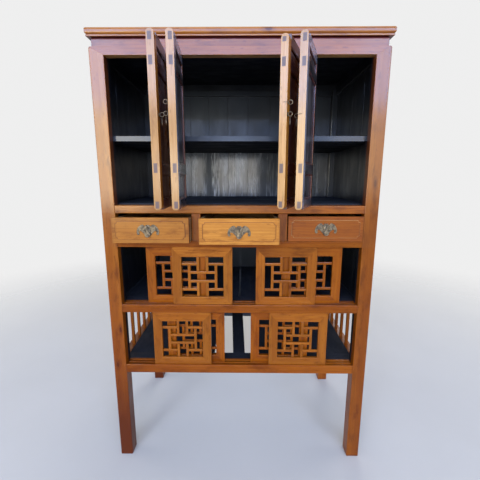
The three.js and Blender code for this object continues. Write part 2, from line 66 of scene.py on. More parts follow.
# Eased arrises
EASE = 1.2 * MM
FINE_EASE = 0.5 * MM
ROUND_EASE = 2.8 * MM
RAIL_ROUND = 3.6 * MM
FRAME_ROUND = 2.4 * MM
POST_CROWN = 7 * MM

# Wood shows this far into the openings, and lacquer behind it
VARNISH_DEPTH = 30 * MM

# The top rail's mitred ends lie over the posts by a hair
MITRE_PROUD = 0.25 * MM

# Cap and frieze
CAP_BOARD = 12 * MM
CAP_RIM = 62 * MM
CAP_NOSE = 9 * MM
CAP_NECK = 1.5 * MM
CAP_NECK_INSET = 14 * MM
CAP_BAND_TOP = 7.5 * MM
CAP_BAND_REACH = 4 * MM
CAP_BAND_EDGE = (1 * MM, 5 * MM)
CAP_BAND_EASE = 0.6 * MM
FRIEZE_GAP = 1.2 * MM
FRIEZE_SHADOW = 4.5 * MM
FRIEZE_SHADOW_SHARE = 0.8
FRIEZE_DEPTH = 22 * MM
FRIEZE_FOOT = 4 * MM
FRIEZE_INSIDE = 18 * MM

# Boards: the gap and the spread of widths, the last seed for a row's tones, and how many lie side by side
PLANK_GAP = 0.8 * MM
PLANK_SPREAD = 0.25
LAST_SEED = 9999
SIDE_PLANKS = 4
CAP_PLANKS = 5
SHELF_PLANKS = 3
BACK_PLANKS = {"upper": 9, "middle": 8, "lower": 8}
SIDE_RAIL_DEPTH = 34 * MM
SIDE_RAIL_INSET = 3 * MM
BOARD_INSET = 12 * MM
SIDE_BOARD = 12 * MM
FLOOR_INSET = 37 * MM

# Mullions, drawer partitions and spindles
MULLION_ROUND = 9 * MM
PARTITION_POST = 44 * MM
PARTITION_HALF = 6 * MM
SPINDLES = 6
SPINDLE = 13 * MM
SPINDLE_INSET = 19 * MM
SPINDLE_FOOT = 1 * MM

# Floors of the sliding rows: battens at the front and back, the gap in the middle,
# and the slat that lies across the lower one
FRONT_BATTEN = 46 * MM
REAR_BATTEN = 20 * MM
FLOOR_SLATS = 4
FLOOR_GAPS = {"high": (-4.5 * MM, 4.5 * MM), "low": (-118 * MM, 92 * MM)}
LOOSE_SLAT = ((-30 * MM, 25 * MM), (14 * MM, -50 * MM))

# Tracks of the sliding panels
TRACK_CUTS = ((7 * MM, 22 * MM), (25 * MM, 40 * MM))
TRACK_LOW_DEPTH = 4.3 * MM
TRACK_TOP_DEPTH = 9 * MM

# Leaves, from their pivot and bottom
LEAF_HALF = 12 * MM
LEAF_STILE = 32 * MM
LEAF_HEIGHT = 543 * MM
LEAF_FREE = 219.5 * MM
LEAF_PANELS = ((32 * MM, 118 * MM), (154 * MM, 439 * MM), (472 * MM, 508 * MM))
LEAF_RAILS = ((0.0, 32 * MM), (118 * MM, 154 * MM), (439 * MM, 472 * MM), (508 * MM, 543 * MM))
LEAF_RECESS = 6 * MM
LEAF_TURNS = {"a": 92.5, "b": 86.0, "c": 68.0, "d": 110.5}
LEAF_SIGNS = {"a": -1, "b": 1, "c": -1, "d": 1}
LEAF_BEAD = 4.5 * MM
BEAD_DROP = 1 * MM
BEAD_EASE = 1.8 * MM
LEAF_FIELD = 12 * MM
FIELD_RISE = 2 * MM
HORN_RADIUS = 11.3 * MM
# Paler varnish on the free stile: painted light on its outer face, which stands in shade
STILE_PAINTED_LIGHT = 0.65
STILE_ENDS = {"c": (3 * MM, 9 * MM)}
TENON_WIDTH = 12 * MM
TENON_SHIFT = 1.5 * MM
TENON_DEPTH = 8 * MM
TENON_PROUD = 0.3 * MM
TENON_SHOULDER = 3 * MM
TENON_FROM_ENDS = (6 * MM, 9 * MM)
PIN_RADIUS = 6 * MM
PIN_REACH = 10.5 * MM
PIN_ROOT = 2 * MM

# Drawers
DRAWER_FRONT = 18 * MM
DRAWER_FIELD = 2.5 * MM
FIELD_ROOT = 1 * MM
FIELD_EASE = 0.8 * MM
# Lines round the drawer fields: the dark ones paint a groove's shade; the right drawer's pale one is wear and
# a painted highlight
DRAWER_SHADE_LINE = 1.3 * MM
WORN_HIGHLIGHT_LINE = 1.2 * MM
LINE_PROUD = 0.3 * MM
DRAWER_MARGIN = 15 * MM
DRAWER_NOTCH = 8 * MM
NOTCH_ROUND = DRAWER_NOTCH / 2.5
DRAWER_WALL = 10 * MM
DRAWER_WALL_DROP = 6 * MM
DRAWER_FLOOR = (6 * MM, 14 * MM)
DRAWER_PLANKS = 3

# Lattice panels
PANEL_STILE = 37 * MM
PANEL_TOP_RAIL = 49 * MM
PANEL_BOTTOM_RAIL = 36.5 * MM
LATTICE_BAR = 11.5 * MM
LATTICE_DEPTH = 8 * MM
LATTICE_EASE = 3.0 * MM
LATTICE_SETBACK = 3 * MM
OUTER_BAR_SHARE = 0.18
INNER_BAR_SHARE = 0.39

# Brass, in the frame's own sizes
RING_RADIUS = 6.5 * MM
PLATE_RING_RADIUS = 5.9 * MM
RING_WIRE = 1.1 * MM
RING_STANDOFF = 8.9 * MM
ROSETTE_RADIUS = 6.6 * MM
LEG_SPREAD = 0.9 * MM
LEG_WIRE = 0.75 * MM
LEG_ROOT = 0.5 * MM
LEG_GAP = 1 * MM
EYE_RADIUS = 3.2 * MM
EYE_TOP = 4 * MM
EYE_FALL = 7.2 * MM
LOCK_RISE = 35 * MM
CLENCHES = {"c": LOCK_RISE, "d": 0.0}
CLENCH_WIRE = 0.9 * MM
CLENCH_PROUD = 0.4 * MM
CLENCH_START = 1 * MM
CLENCH_RISE = 0.5 * MM
LOOP_WIRE = 0.9 * MM
LOOP_EYE_WIRE = 0.8 * MM
LOOP_HALF = 3.2 * MM
LOOP_SWELL = 0.6
BAT_HALF = 44 * MM
BAT_TALL = 50 * MM
BAT_THICK = 0.9 * MM
BAT_RIM = (1.1 * MM, 0.8 * MM)
BAT_OUTLINE = (
    (0.0, 0.93), (0.10, 0.98), (0.17, 0.97), (0.22, 0.86), (0.30, 0.90), (0.42, 1.0), (0.58, 0.98),
    (0.76, 0.87), (0.90, 0.71), (0.985, 0.52), (1.0, 0.36), (0.95, 0.22), (0.86, 0.17), (0.77, 0.20),
    (0.72, 0.30), (0.77, 0.42), (0.66, 0.50), (0.50, 0.42), (0.38, 0.30), (0.26, 0.18), (0.12, 0.06),
    (0.0, 0.0),
)
BAT_RIBS = (
    ((0.22, 0.62), (0.42, 0.80), (0.64, 0.76), (0.80, 0.60), (0.86, 0.34)),
    ((0.22, 0.54), (0.38, 0.66), (0.54, 0.64), (0.64, 0.52)),
    ((0.20, 0.46), (0.30, 0.50), (0.38, 0.46), (0.44, 0.40)),
)
RIB_LIFT = 1.9 * MM
RIB_WIRE = 0.75 * MM
BODY_UP = 0.46
BODY_REACH = (0.24, 0.36)
BODY_LIFT = 1 * MM
ROSETTE_LIFT = 1.2 * MM

# Crowned brass, as the share of the outline at each step and its rise
ROSETTE_ROWS = ((1.0, 0.0), (1.0, 0.5 * MM), (0.72, 1.3 * MM), (0.35, 1.7 * MM))
BODY_ROWS = ((1.0, 0.0), (1.0, 1.0 * MM), (0.86, 1.9 * MM), (0.6, 2.5 * MM), (0.3, 2.8 * MM))
DROP_ROWS = (
    (1.0, 0.0), (1.0, 1.2 * MM), (0.9, 1.8 * MM), (0.8, 1.7 * MM), (0.74, 1.3 * MM), (0.6, 1.9 * MM),
    (0.3, 2.4 * MM),
)
DROP_NECK = ((1.5 * MM, 0.0), (2.4 * MM, 0.25))
DROP_BELLY = (math.radians(155), math.radians(230))
DROP_BACK = 1.1 * MM
DROP_OVERLAP = 0.4 * MM

# How far each piece's varnish has paled from deep orange to honey; a pair runs from one end
# of the grain to the other. Some of it is painted light: the waist rail is paler at its left end and the
# right drawer darker, where light falls brighter from the left, and the front posts are paler towards the top
# as a painted reflection.
HONEY_AND_PAINTED_LIGHT = {
    "drawer_one": 0.42,
    "drawer_two": 0.62,
    "drawer_three": 0.0,
    "rail_waist": (0.3, 0.0),
    "rail_deck": 0.04,
    "panel_high_near_left": 0.2,
    "panel_high_near_right": 0.12,
    "panel_low_near_left": 0.15,
    "panel_low_near_right": 0.15,
    "post_front_left": (-0.15, 0.36),
    "post_front_right": (0.0, 0.12),
    "cap": 0.25,
}
HONEY_ELSEWHERE = 0.06

# Palettes of the wood: pale, mid and dark
DEEP = ((0.288, 0.074, 0.0030), (0.214, 0.043, 0.0011), (0.096, 0.016, 0.0009))
HONEYED = ((0.68, 0.305, 0.048), (0.56, 0.215, 0.024), (0.28, 0.080, 0.007))
CREAM = ((0.55, 0.29, 0.10), (0.46, 0.22, 0.065), (0.27, 0.11, 0.03))
# Painted shade: dark red-brown for the posts' inner faces in the openings and the lines round two drawer
# fields
SHADE_LIP = ((0.20, 0.055, 0.014), (0.13, 0.033, 0.010), (0.05, 0.012, 0.006))
BARE = ((0.40, 0.25, 0.12), (0.30, 0.17, 0.075), (0.15, 0.075, 0.033))
TENON = ((0.40, 0.29, 0.25), (0.31, 0.215, 0.19), (0.17, 0.11, 0.10))
# Painted shade: dark red for the recesses under the cap and the top of the frieze
GROOVE_SHADE = ((0.13, 0.022, 0.022), (0.09, 0.014, 0.018), (0.04, 0.008, 0.010))

# Palettes of the lacquer: ground, what shows where it is worn, and dust; the scuffed one's third colour also
# paints a reflected sheen
BLACK = ((0.005, 0.0055, 0.0075), (0.016, 0.011, 0.010), (0.030, 0.033, 0.045))
SCUFFS_AND_SHEEN = ((0.008, 0.0085, 0.011), (0.02, 0.018, 0.018), (0.42, 0.45, 0.50))
DULL = ((0.011, 0.0115, 0.015), (0.02, 0.016, 0.016), (0.016, 0.018, 0.026))
RUBBED = ((0.12, 0.13, 0.18), (0.05, 0.045, 0.05), (0.32, 0.33, 0.40))
WORN = ((0.014, 0.012, 0.016), (0.13, 0.035, 0.030), (0.26, 0.23, 0.26))
MAROON = ((0.026, 0.004, 0.006), (0.11, 0.024, 0.016), (0.16, 0.09, 0.085))
BLUE_SHEEN = (0.62, 0.76, 1.0)
PLAIN_SHEEN = (1.0, 1.0, 1.0)

# Brass where it is handled, and in its hollows
BRIGHT_BRASS = (0.20, 0.16, 0.105)
DULL_BRASS = (0.085, 0.068, 0.050)

# Noises: how fine along the grain and across it, then detail and roughness
WOOD_NOISES = {
    "warp": (2.2, 7.0, 2.0),
    "ragged": (60.0, 110.0),
    "streak": (1.3, 26.0),
    "fibre": (9.0, 320.0, 2.0),
    "patch": (3.5, 8.0),
    "blotch": (9.0, 34.0, 4.0, 0.65),
    "fleck": (34.0, 150.0, 1.0),
    "edge": (24.0, 60.0),
    "sheen": (6.0, 18.0),
}
LACQUER_NOISES = {
    "streak": (1.5, 40.0),
    "cloud": (5.0, 9.0, 4.0),
    "scratch": (3.0, 190.0, 1.0),
    "fibre": (10.0, 300.0, 2.0),
    "bloom": (14.0, 150.0, 4.0),
    "edge": (24.0, 60.0),
    "sheen": (7.0, 20.0),
}
RING_PATTERN = {"Scale": 30.0, "Distortion": 1.6, "Detail": 2.0, "Detail Scale": 1.2}
KNOT_SPREAD = (4.6, 12.0, 12.0)
TONE_SHIFT = (31.7, 17.3, 9.1)

# Axes in the order along and across the grain
ORDERS = {"x": (0, 1, 2), "y": (1, 0, 2), "z": (2, 0, 1)}
FORWARD, BEHIND = Vector((0, -1, 0)), Vector((0, 1, 0))
UP, DOWN = Vector((0, 0, 1)), Vector((0, 0, -1))
SIDEWAYS = Vector((1, 0, 0))

# A face looks a given way where its normal leans this far towards it
FACING = 0.7
LEANING = 0.3

# Edges that turn more than this are eased, in radians
SHARP = 0.6

# Camera, fitted to the photo
YAW, PITCH, ROLL = -0.00982, 0.18373, -0.00111
CAMERA_PLACE = (0.01436, FRONT - 1.19571, 1.26379)
PHOTO_PIXELS, FOCAL_PIXELS, SHIFT_PIXELS = 480, 302.14, -5
SENSOR = 36.0

# Soft upright panels of light before the cabinet: name, x, bottom, top, width, level and colour
PANELS_BEFORE = 6.0
PANELS_AIM_SHARE, PANELS_AIM_TOP = 0.3, 1.5
PANELS = (
    ("sky_panel", 0.0, 2.91, 4.65, 9.6, 11.6, (0.42, 0.58, 1.0)),
    ("sky_end", -3.3, 2.91, 4.65, 1.5, 3.0, (0.2, 0.6, 1.0)),
    ("sky_end", 3.3, 2.91, 4.65, 1.5, 3.0, (0.2, 0.6, 1.0)),
    ("haze_left", -3.0, 0.6, 2.91, 1.7, 12.4, (1.0, 0.89, 0.66)),
    ("haze_middle", -0.1, 0.9, 1.9, 2.6, 7.0, (1.0, 0.95, 0.88)),
    ("haze_right", 2.9, 0.9, 2.91, 1.5, 4.6, (1.0, 0.84, 0.60)),
)

# Lamps: name, place, what they shine at, size, power and colour
LAMPS = (
    ("top_lamp", (0.0, -0.6, 4.2), (0.0, 0.0, 1.0), (3.0, 2.4), 45.0, (1.0, 0.95, 0.86)),
    ("side_lamp", (-4.6, 0.5, 1.9), (0.0, 0.2, 0.9), (2.6, 2.4), 60.0, (1.0, 0.98, 0.95)),
    ("side_lamp", (4.6, 0.5, 1.9), (0.0, 0.2, 0.9), (2.6, 2.4), 60.0, (1.0, 0.98, 0.95)),
    ("rear_lamp", (0.5, 3.4, 2.8), (0.0, 0.2, 1.0), (2.4, 1.6), 60.0, (1.0, 1.0, 1.0)),
)

# Floor and room
FLOOR_RADIUS = 9.0
FLOOR_GREYS = ((0.56, 0.56, 0.56), (0.62, 0.62, 0.62))
FLOOR_FADE = (1.4, 4.2)
ROOM_LIGHT = (0.12, 0.118, 0.115, 1.0)
ROOM_SEEN = (0.86, 0.86, 0.86, 1.0)


class Nodes:
    """A node tree, with short ways to add its nodes."""

    def __init__(self, tree):
        self.tree = tree

    def feed(self, socket, value):
        if isinstance(value, bpy.types.NodeSocket):
            self.tree.links.new(value, socket)
        elif isinstance(value, tuple) and len(value) == 3 and len(socket.default_value) == 4:
            socket.default_value = (*value, 1.0)
        else:
            socket.default_value = value

    def node(self, kind, inputs=(), **settings):
        made = self.tree.nodes.new(kind)
        for name, value in settings.items():
            setattr(made, name, value)
        for key, value in dict(inputs).items():
            self.feed(made.inputs[key], value)
        return made

    def math(self, operation, a, b):
        return self.node("ShaderNodeMath", {0: a, 1: b}, operation=operation).outputs[0]

    def mix(self, share, a, b, way="MIX"):
        made = self.node("ShaderNodeMix", {0: share, 6: a, 7: b}, data_type="RGBA", blend_type=way)
        return made.outputs[2]


class Finish(Nodes):
    """A material made of nodes."""

    def __init__(self, name):
        self.material = bpy.data.materials.new(name)
        self.material.use_nodes = True
        super().__init__(self.material.node_tree)
        self.shader = self.tree.nodes["Principled BSDF"]

    def set(self, **values):
        """Values or links for the shader's own sockets, with _ for a space."""
        for name, value in values.items():
            self.feed(self.shader.inputs[name.replace("_", " ")], value)

    def add(self, a, b):
        return self.math("ADD", a, b)

    def times(self, a, b):
        return self.math("MULTIPLY", a, b)

    def stray(self, value, guide, reach):
        """A value that a guide between 0 and 1 shifts down or up."""
        return self.add(value, self.times(self.math("SUBTRACT", guide, 0.5), reach))

    def vector(self, operation, a, b=(0.0, 0.0, 0.0)):
        return self.node("ShaderNodeVectorMath", {0: a, 1: b}, operation=operation).outputs[0]

    def split(self, vector):
        return self.node("ShaderNodeSeparateXYZ", {0: vector}).outputs

    def join(self, x, y, z):
        return self.node("ShaderNodeCombineXYZ", {0: x, 1: y, 2: z}).outputs[0]

    def step(self, value, low, high, start=0.0, end=1.0):
        ends = {"Value": value, "From Min": low, "From Max": high, "To Min": start, "To Max": end}
        return self.node("ShaderNodeMapRange", ends, interpolation_type="SMOOTHSTEP").outputs[0]

    def layered(self, colour, *layers):
        """Colours laid over each other, each as strong as its guide's way from one value to another."""
        for guide, low, high, strength, over in layers:
            colour = self.mix(self.step(guide, low, high, 0.0, strength), colour, over)
        return colour

    def noise(self, place, along, across, detail=3.0, roughness=0.55):
        stretched = self.vector("MULTIPLY", place, (along, across, across))
        inputs = {"Vector": stretched, "Scale": 1.0, "Detail": detail, "Roughness": roughness}
        return self.node("ShaderNodeTexNoise", inputs).outputs["Fac"]

    def noises(self, place, table):
        return {name: self.noise(place, *how) for name, how in table.items()}

    def attribute(self, name, output="Fac"):
        return self.node("ShaderNodeAttribute", attribute_name=name).outputs[output]

    def place(self):
        return self.node("ShaderNodeTexCoord").outputs["Object"]

    def shape(self):
        """A point's place in the wood, how far off an arris and an end are, its tone and its grain."""
        grain, tone = self.attribute("grain", "Vector"), self.attribute("tone")
        half = self.attribute("half", "Vector")
        inset = self.split(self.vector("SUBTRACT", half, self.vector("ABSOLUTE", grain)))
        low = self.math("MINIMUM", inset[0], inset[1])
        high = self.math("MAXIMUM", inset[0], inset[1])
        arris = self.math("MAXIMUM", low, self.math("MINIMUM", high, inset[2]))
        shift = self.join(*(self.times(tone, reach) for reach in TONE_SHIFT))
        return self.vector("ADD", grain, shift), arris, inset[0], tone, grain

    def bump(self, height, strength, distance):
        inputs = {"Height": height, "Strength": strength, "Distance": distance}
        self.set(Normal=self.node("ShaderNodeBump", inputs).outputs[0])


def scaled(colour, *shares):
    """A colour whose parts are each multiplied by a share, or all by one."""
    return tuple(c * share for c, share in zip(colour, shares * 3))


def wood(name, deep, honey, coat, rough=(0.30, 0.52), wear=0.5, specular=0.12):
    """Pine with rings, knots, worn arrises, dark end grain, grime and painted shade at its ends, and darker
    feet.
    """
    f = Finish(name)
    place, arris, end, tone, grain = f.shape()
    share = f.attribute("honey")
    pale, mid, dark = (f.mix(share, a, b) for a, b in zip(deep, honey))
    n = f.noises(place, WOOD_NOISES)
    knot_inputs = {"Vector": f.vector("MULTIPLY", place, KNOT_SPREAD), "Scale": 1.0}
    knot = f.stray(f.node("ShaderNodeTexVoronoi", knot_inputs).outputs["Distance"], n["ragged"], 0.09)
    halo = f.step(knot, 0.34, 0.06)
    across = f.split(grain)
    pith_y = f.stray(across[1], tone, 0.12)
    pith_z = f.math("SUBTRACT", across[2], f.add(0.035, f.times(tone, 0.05)))
    bend = f.add(f.times(n["warp"], 0.05), f.times(halo, 0.012))
    rings = f.node(
        "ShaderNodeTexWave", {"Vector": f.join(0.0, f.add(pith_y, bend), pith_z), **RING_PATTERN},
        wave_type="RINGS", rings_direction="X", wave_profile="SAW",
    ).outputs["Fac"]
    colour = f.layered(
        pale,
        (rings, 0.2, 1.0, 0.55, mid),
        (n["streak"], 0.38, 0.72, 0.75, mid),
        (n["patch"], 0.45, 0.8, 0.5, dark),
        (n["blotch"], 0.5, 0.70, 0.58, dark),
        (n["blotch"], 0.46, 0.28, 0.45, pale),
        (n["fibre"], 0.5, 0.75, 0.3, dark),
        (n["fleck"], 0.67, 0.74, 0.5, dark),
    )
    shade = f.step(tone, 0.0, 1.0, 0.86, 1.1)
    colour = f.mix(1.0, colour, f.join(shade, shade, shade), "MULTIPLY")
    worn = f.step(f.stray(arris, n["edge"], 0.008), 0.0032, 0.0008, 0.0, wear)
    colour = f.layered(
        colour,
        (knot, 0.19, 0.07, 0.6, dark),
        (knot, 0.075, 0.045, 0.9, scaled(deep[2], 0.75, 0.6, 0.6)),
    )
    # Near its ends, where it meets other pieces, the wood darkens as grime and as painted shade; the very end
    # is darker end grain
    colour = f.layered(
        f.mix(worn, colour, pale),
        (f.add(end, f.times(n["patch"], 0.01)), 0.014, 0.003, 0.35, dark),
        (end, 0.0012, 0.0004, 0.7, scaled(deep[2], 0.6)),
    )
    # Darker towards the floor, most on the left side
    spot = f.split(f.place())
    low_darkening = f.step(f.stray(spot[2], n["patch"], 0.5), 0.54, 0.2)
    colour = f.mix(f.times(low_darkening, f.step(spot[0], 0.4, -0.4, 0.1, 1.0)), colour, dark)
    sheen = f.add(f.step(n["sheen"], 0.3, 0.7, *rough), f.times(worn, 0.15))
    height = f.add(f.times(n["fibre"], 0.5), f.times(rings, 0.35))
    f.bump(f.math("SUBTRACT", height, f.step(knot, 0.10, 0.06)), 0.35, 0.0006)
    f.set(Base_Color=colour, Roughness=sheen)
    f.set(Coat_Weight=coat, Coat_Roughness=0.16, Specular_IOR_Level=specular)
    return f.material


def lacquer(name, palette, coat, rough=(0.22, 0.5), wear=0.45, scuffs=0.0, tint=BLUE_SHEEN, specular=0.5):
    """Lacquer over wood: the grain shows through it, its arrises are worn, and dust lies on what faces up."""
    f = Finish(name)
    ground, under, dust = palette
    place, arris, _, tone, _ = f.shape()
    n = f.noises(place, LACQUER_NOISES)
    colour = f.layered(
        ground,
        (n["cloud"], 0.35, 0.75, 1.0, scaled(ground, 1.9)),
        (n["streak"], 0.55, 0.8, 0.35, under),
        (n["scratch"], 0.7, 0.78, 0.3, dust),
    )
    # Pale streaks of bloom and scuffs; on the back boards under the shelf they also paint a reflected sheen
    if scuffs:
        bloom = f.times(f.step(n["streak"], 0.42, 0.62), f.step(n["bloom"], 0.40, 0.66))
        bloom = f.times(bloom, f.step(tone, 0.0, 1.0, 0.35, 1.25))
        colour = f.mix(f.times(bloom, scuffs), colour, dust)
    colour = f.layered(colour, (f.stray(arris, n["edge"], 0.007), 0.0022, 0.0006, wear, under))
    up = f.split(f.node("ShaderNodeNewGeometry").outputs["Normal"])[2]
    dusty = f.times(f.step(up, 0.6, 0.95), f.step(n["cloud"], 0.3, 0.7, 0.25, 0.7))
    sheen = f.add(f.step(n["sheen"], 0.3, 0.7, *rough), f.times(dusty, 0.25))
    f.bump(f.add(f.times(n["fibre"], 0.4), f.times(n["streak"], 1.4)), 0.3, 0.0007)
    f.set(Base_Color=f.mix(dusty, colour, dust), Roughness=sheen, Coat_Weight=coat, Coat_Roughness=0.14)
    f.set(Specular_IOR_Level=specular, Specular_Tint=tint)
    return f.material


def brass(name, bright, dull):
    """Old brass: dull brown in its hollows and brighter where it is handled."""
    f = Finish(name)
    cloud, speck = f.noise(f.place(), 90.0, 90.0, 4.0), f.noise(f.place(), 420.0, 420.0, 2.0)
    colour = f.layered(bright, (cloud, 0.35, 0.68, 1.0, dull), (speck, 0.55, 0.75, 0.6, scaled(dull, 0.35)))
    f.set(Base_Color=colour, Metallic=0.85, Roughness=f.step(cloud, 0.3, 0.7, 0.32, 0.6))
    f.bump(f.add(speck, cloud), 0.25, 0.0004)
    return f.material


FINISHES = {
    "varnished": wood("varnished_pine", DEEP, HONEYED, 0.66, specular=0.08),
    "half": wood("half_worn_varnish", DEEP, HONEYED, 0.50, specular=0.08),
    "light": wood("light_varnish", DEEP, HONEYED, 0.37, specular=0.07),
    "thin": wood("thin_varnish", DEEP, HONEYED, 0.26, specular=0.06),
    "pale": wood("pale_varnished_pine", CREAM, CREAM, 0.7),
    "shade_lip": wood("painted_shade_lip", SHADE_LIP, SHADE_LIP, 0.5),
    "bare": wood("bare_pine", BARE, BARE, 0.0, (0.6, 0.8), 0.3),
    "tenon": wood("tenon_end", TENON, TENON, 0.3),
    "black": lacquer("black_lacquer", BLACK, 0.4, (0.36, 0.5)),
    "scuffs_and_sheen": lacquer("scuffed_sheen_black_lacquer", SCUFFS_AND_SHEEN, 0.6, scuffs=0.85),
    "dull": lacquer("dull_black_lacquer", DULL, 0.0, (0.5, 0.8), specular=0.3),
    "grey": lacquer("rubbed_black_lacquer", RUBBED, 0.4, scuffs=0.5),
    "worn": lacquer("worn_black_lacquer", WORN, 0.4, wear=0.8, scuffs=0.55),
    "maroon": lacquer("maroon_lacquer", MAROON, 0.4, scuffs=0.3, tint=PLAIN_SHEEN),
    "groove": wood("groove_shade_pine", GROOVE_SHADE, GROOVE_SHADE, 0.2),
    "brass": brass("old_brass", BRIGHT_BRASS, DULL_BRASS),
}


def link(name, data):
    """A new object in the scene."""
    made = bpy.data.objects.new(name, data)
    bpy.context.scene.collection.objects.link(made)
    return made


def facing(way, there, elsewhere, least=FACING):
    """A rule that paints the faces that look a given way one finish, and the others another."""
    return lambda face: there if face.normal.dot(way) > least else elsewhere


def arc(middle, radius, start, sweep, steps):
    """Points of an arc, from its start to its end."""
    turns = [start + sweep * i / steps for i in range(steps + 1)]
    return [(middle[0] + radius * math.cos(turn), middle[1] + radius * math.sin(turn)) for turn in turns]


def circle(middle, radius, first, second, steps=20):
    """Points round a circle whose plane holds two directions."""
    middle = Vector(middle)
    turns = [math.tau * i / steps for i in range(steps)]
    return [middle + (first * math.cos(t) + second * math.sin(t)) * radius for t in turns]


def rounded(points, radius, steps=5):
    """An outline with its square corners rounded, all to one radius or each to its own."""
    made = []
    count = len(points)
    for i in range(count):
        here, before, after = Vector(points[i]), Vector(points[i - 1]), Vector(points[(i + 1) % count])
        reach = radius[i] if isinstance(radius, (list, tuple)) else radius
        if not reach:
            made.append(here)
            continue
        back, on = (before - here).normalized() * reach, (after - here).normalized() * reach
        for step in range(steps + 1):
            turn = math.pi / 2 * step / steps
            made.append(here + back + on - on * math.cos(turn) - back * math.sin(turn))
    return made


def groove(start, stop, level, base):
    """Corners of a groove, in the order that an outline meets them."""
    return [(start, level), (start, base), (stop, base), (stop, level)]


def across_to(sign, a, b):
    """Two distances from the middle on one side of it, the lower place first."""
    return sorted((sign * a, sign * b))


def block(low, high, ease):
    """A square stick or board between two corners, with eased arrises."""
    part = bmesh.new()
    size = [high[i] - low[i] for i in range(3)]
    place = Matrix.Translation([(low[i] + high[i]) / 2 for i in range(3)])
    bmesh.ops.create_cube(part, size=1.0, matrix=place @ Matrix.Diagonal((*size, 1.0)))
    if ease:
        limit = min(ease, min(size) / 3)
        bmesh.ops.bevel(part, geom=part.edges[:], offset=limit, segments=2, profile=0.5, affect="EDGES")
    return part


def bridge(part, near, far):
    """Faces between two closed rows of points."""
    for i in range(len(near)):
        j = (i + 1) % len(near)
        part.faces.new((near[i], near[j], far[j], far[i]))


def mark(part, along, honey):
    """Gives a part's points their place along the grain, its half size and its share of honey and painted
    light.
    """
    grain = part.verts.layers.float_vector.new("grain")
    half = part.verts.layers.float_vector.new("half")
    share = part.verts.layers.float.new("honey")
    low = Vector([min(v.co[i] for v in part.verts) for i in range(3)])
    high = Vector([max(v.co[i] for v in part.verts) for i in range(3)])
    middle, reach, order = (low + high) / 2, (high - low) / 2, ORDERS[along]
    ends = honey if isinstance(honey, tuple) else (honey, honey)
    for vertex in part.verts:
        local = vertex.co - middle
        vertex[grain] = [local[i] for i in order]
        vertex[half] = [reach[i] for i in order]
        vertex[share] = ends[0] + (ends[1] - ends[0]) * (local[order[0]] / reach[order[0]] + 1) / 2


def repeat(stick, count, step, seed, material):
    """Copies of a stick in a row, made by a node tree, each with its own tone. Gives a plain mesh."""
    tree = bpy.data.node_groups.new("row_of_sticks", "GeometryNodeTree")
    inputs = {
        "Stick": ("Geometry", None), "Count": ("Int", count), "Step": ("Vector", step), "Seed": ("Int", seed),
        "Finish": ("Material", material),
    }
    sockets = {}
    for name, (kind, _) in inputs.items():
        sockets[name] = tree.interface.new_socket(name, in_out="INPUT", socket_type=f"NodeSocket{kind}")
    tree.interface.new_socket("Row", in_out="OUTPUT", socket_type="NodeSocketGeometry")
    n = Nodes(tree)
    given = n.node("NodeGroupInput").outputs
    line = n.node("GeometryNodeMeshLine", {"Count": given["Count"], "Offset": given["Step"]})
    spread = {"Points": line.outputs["Mesh"], "Instance": given["Stick"]}
    copies = n.node("GeometryNodeInstanceOnPoints", spread).outputs["Instances"]
    chance = n.node("FunctionNodeRandomValue", {"Seed": given["Seed"]}).outputs
    value = next(out for out in chance if out.enabled and out.type == "VALUE")
    toned = n.node(
        "GeometryNodeStoreNamedAttribute", {"Geometry": copies, "Name": "tone", "Value": value},
        data_type="FLOAT", domain="INSTANCE",
    )
    real = n.node("GeometryNodeRealizeInstances", {"Geometry": toned.outputs["Geometry"]})
    last = {"Geometry": real.outputs["Geometry"], "Material": given["Finish"]}
    n.node("NodeGroupOutput", {"Row": n.node("GeometryNodeSetMaterial", last).outputs["Geometry"]})
    mesh = bpy.data.meshes.new("stick")
    stick.to_mesh(mesh)
    stick.free()
    holder = link("row", mesh)
    modifier = holder.modifiers.new("row", "NODES")
    modifier.node_group = tree
    for name, (_, value) in inputs.items():
        if value is not None:
            modifier[sockets[name].identifier] = value
    graph = bpy.context.evaluated_depsgraph_get()
    made = bpy.data.meshes.new_from_object(holder.evaluated_get(graph))
    holder.modifiers.clear()
    bpy.data.objects.remove(holder)
    bpy.data.meshes.remove(mesh)
    bpy.data.node_groups.remove(tree)
    return made


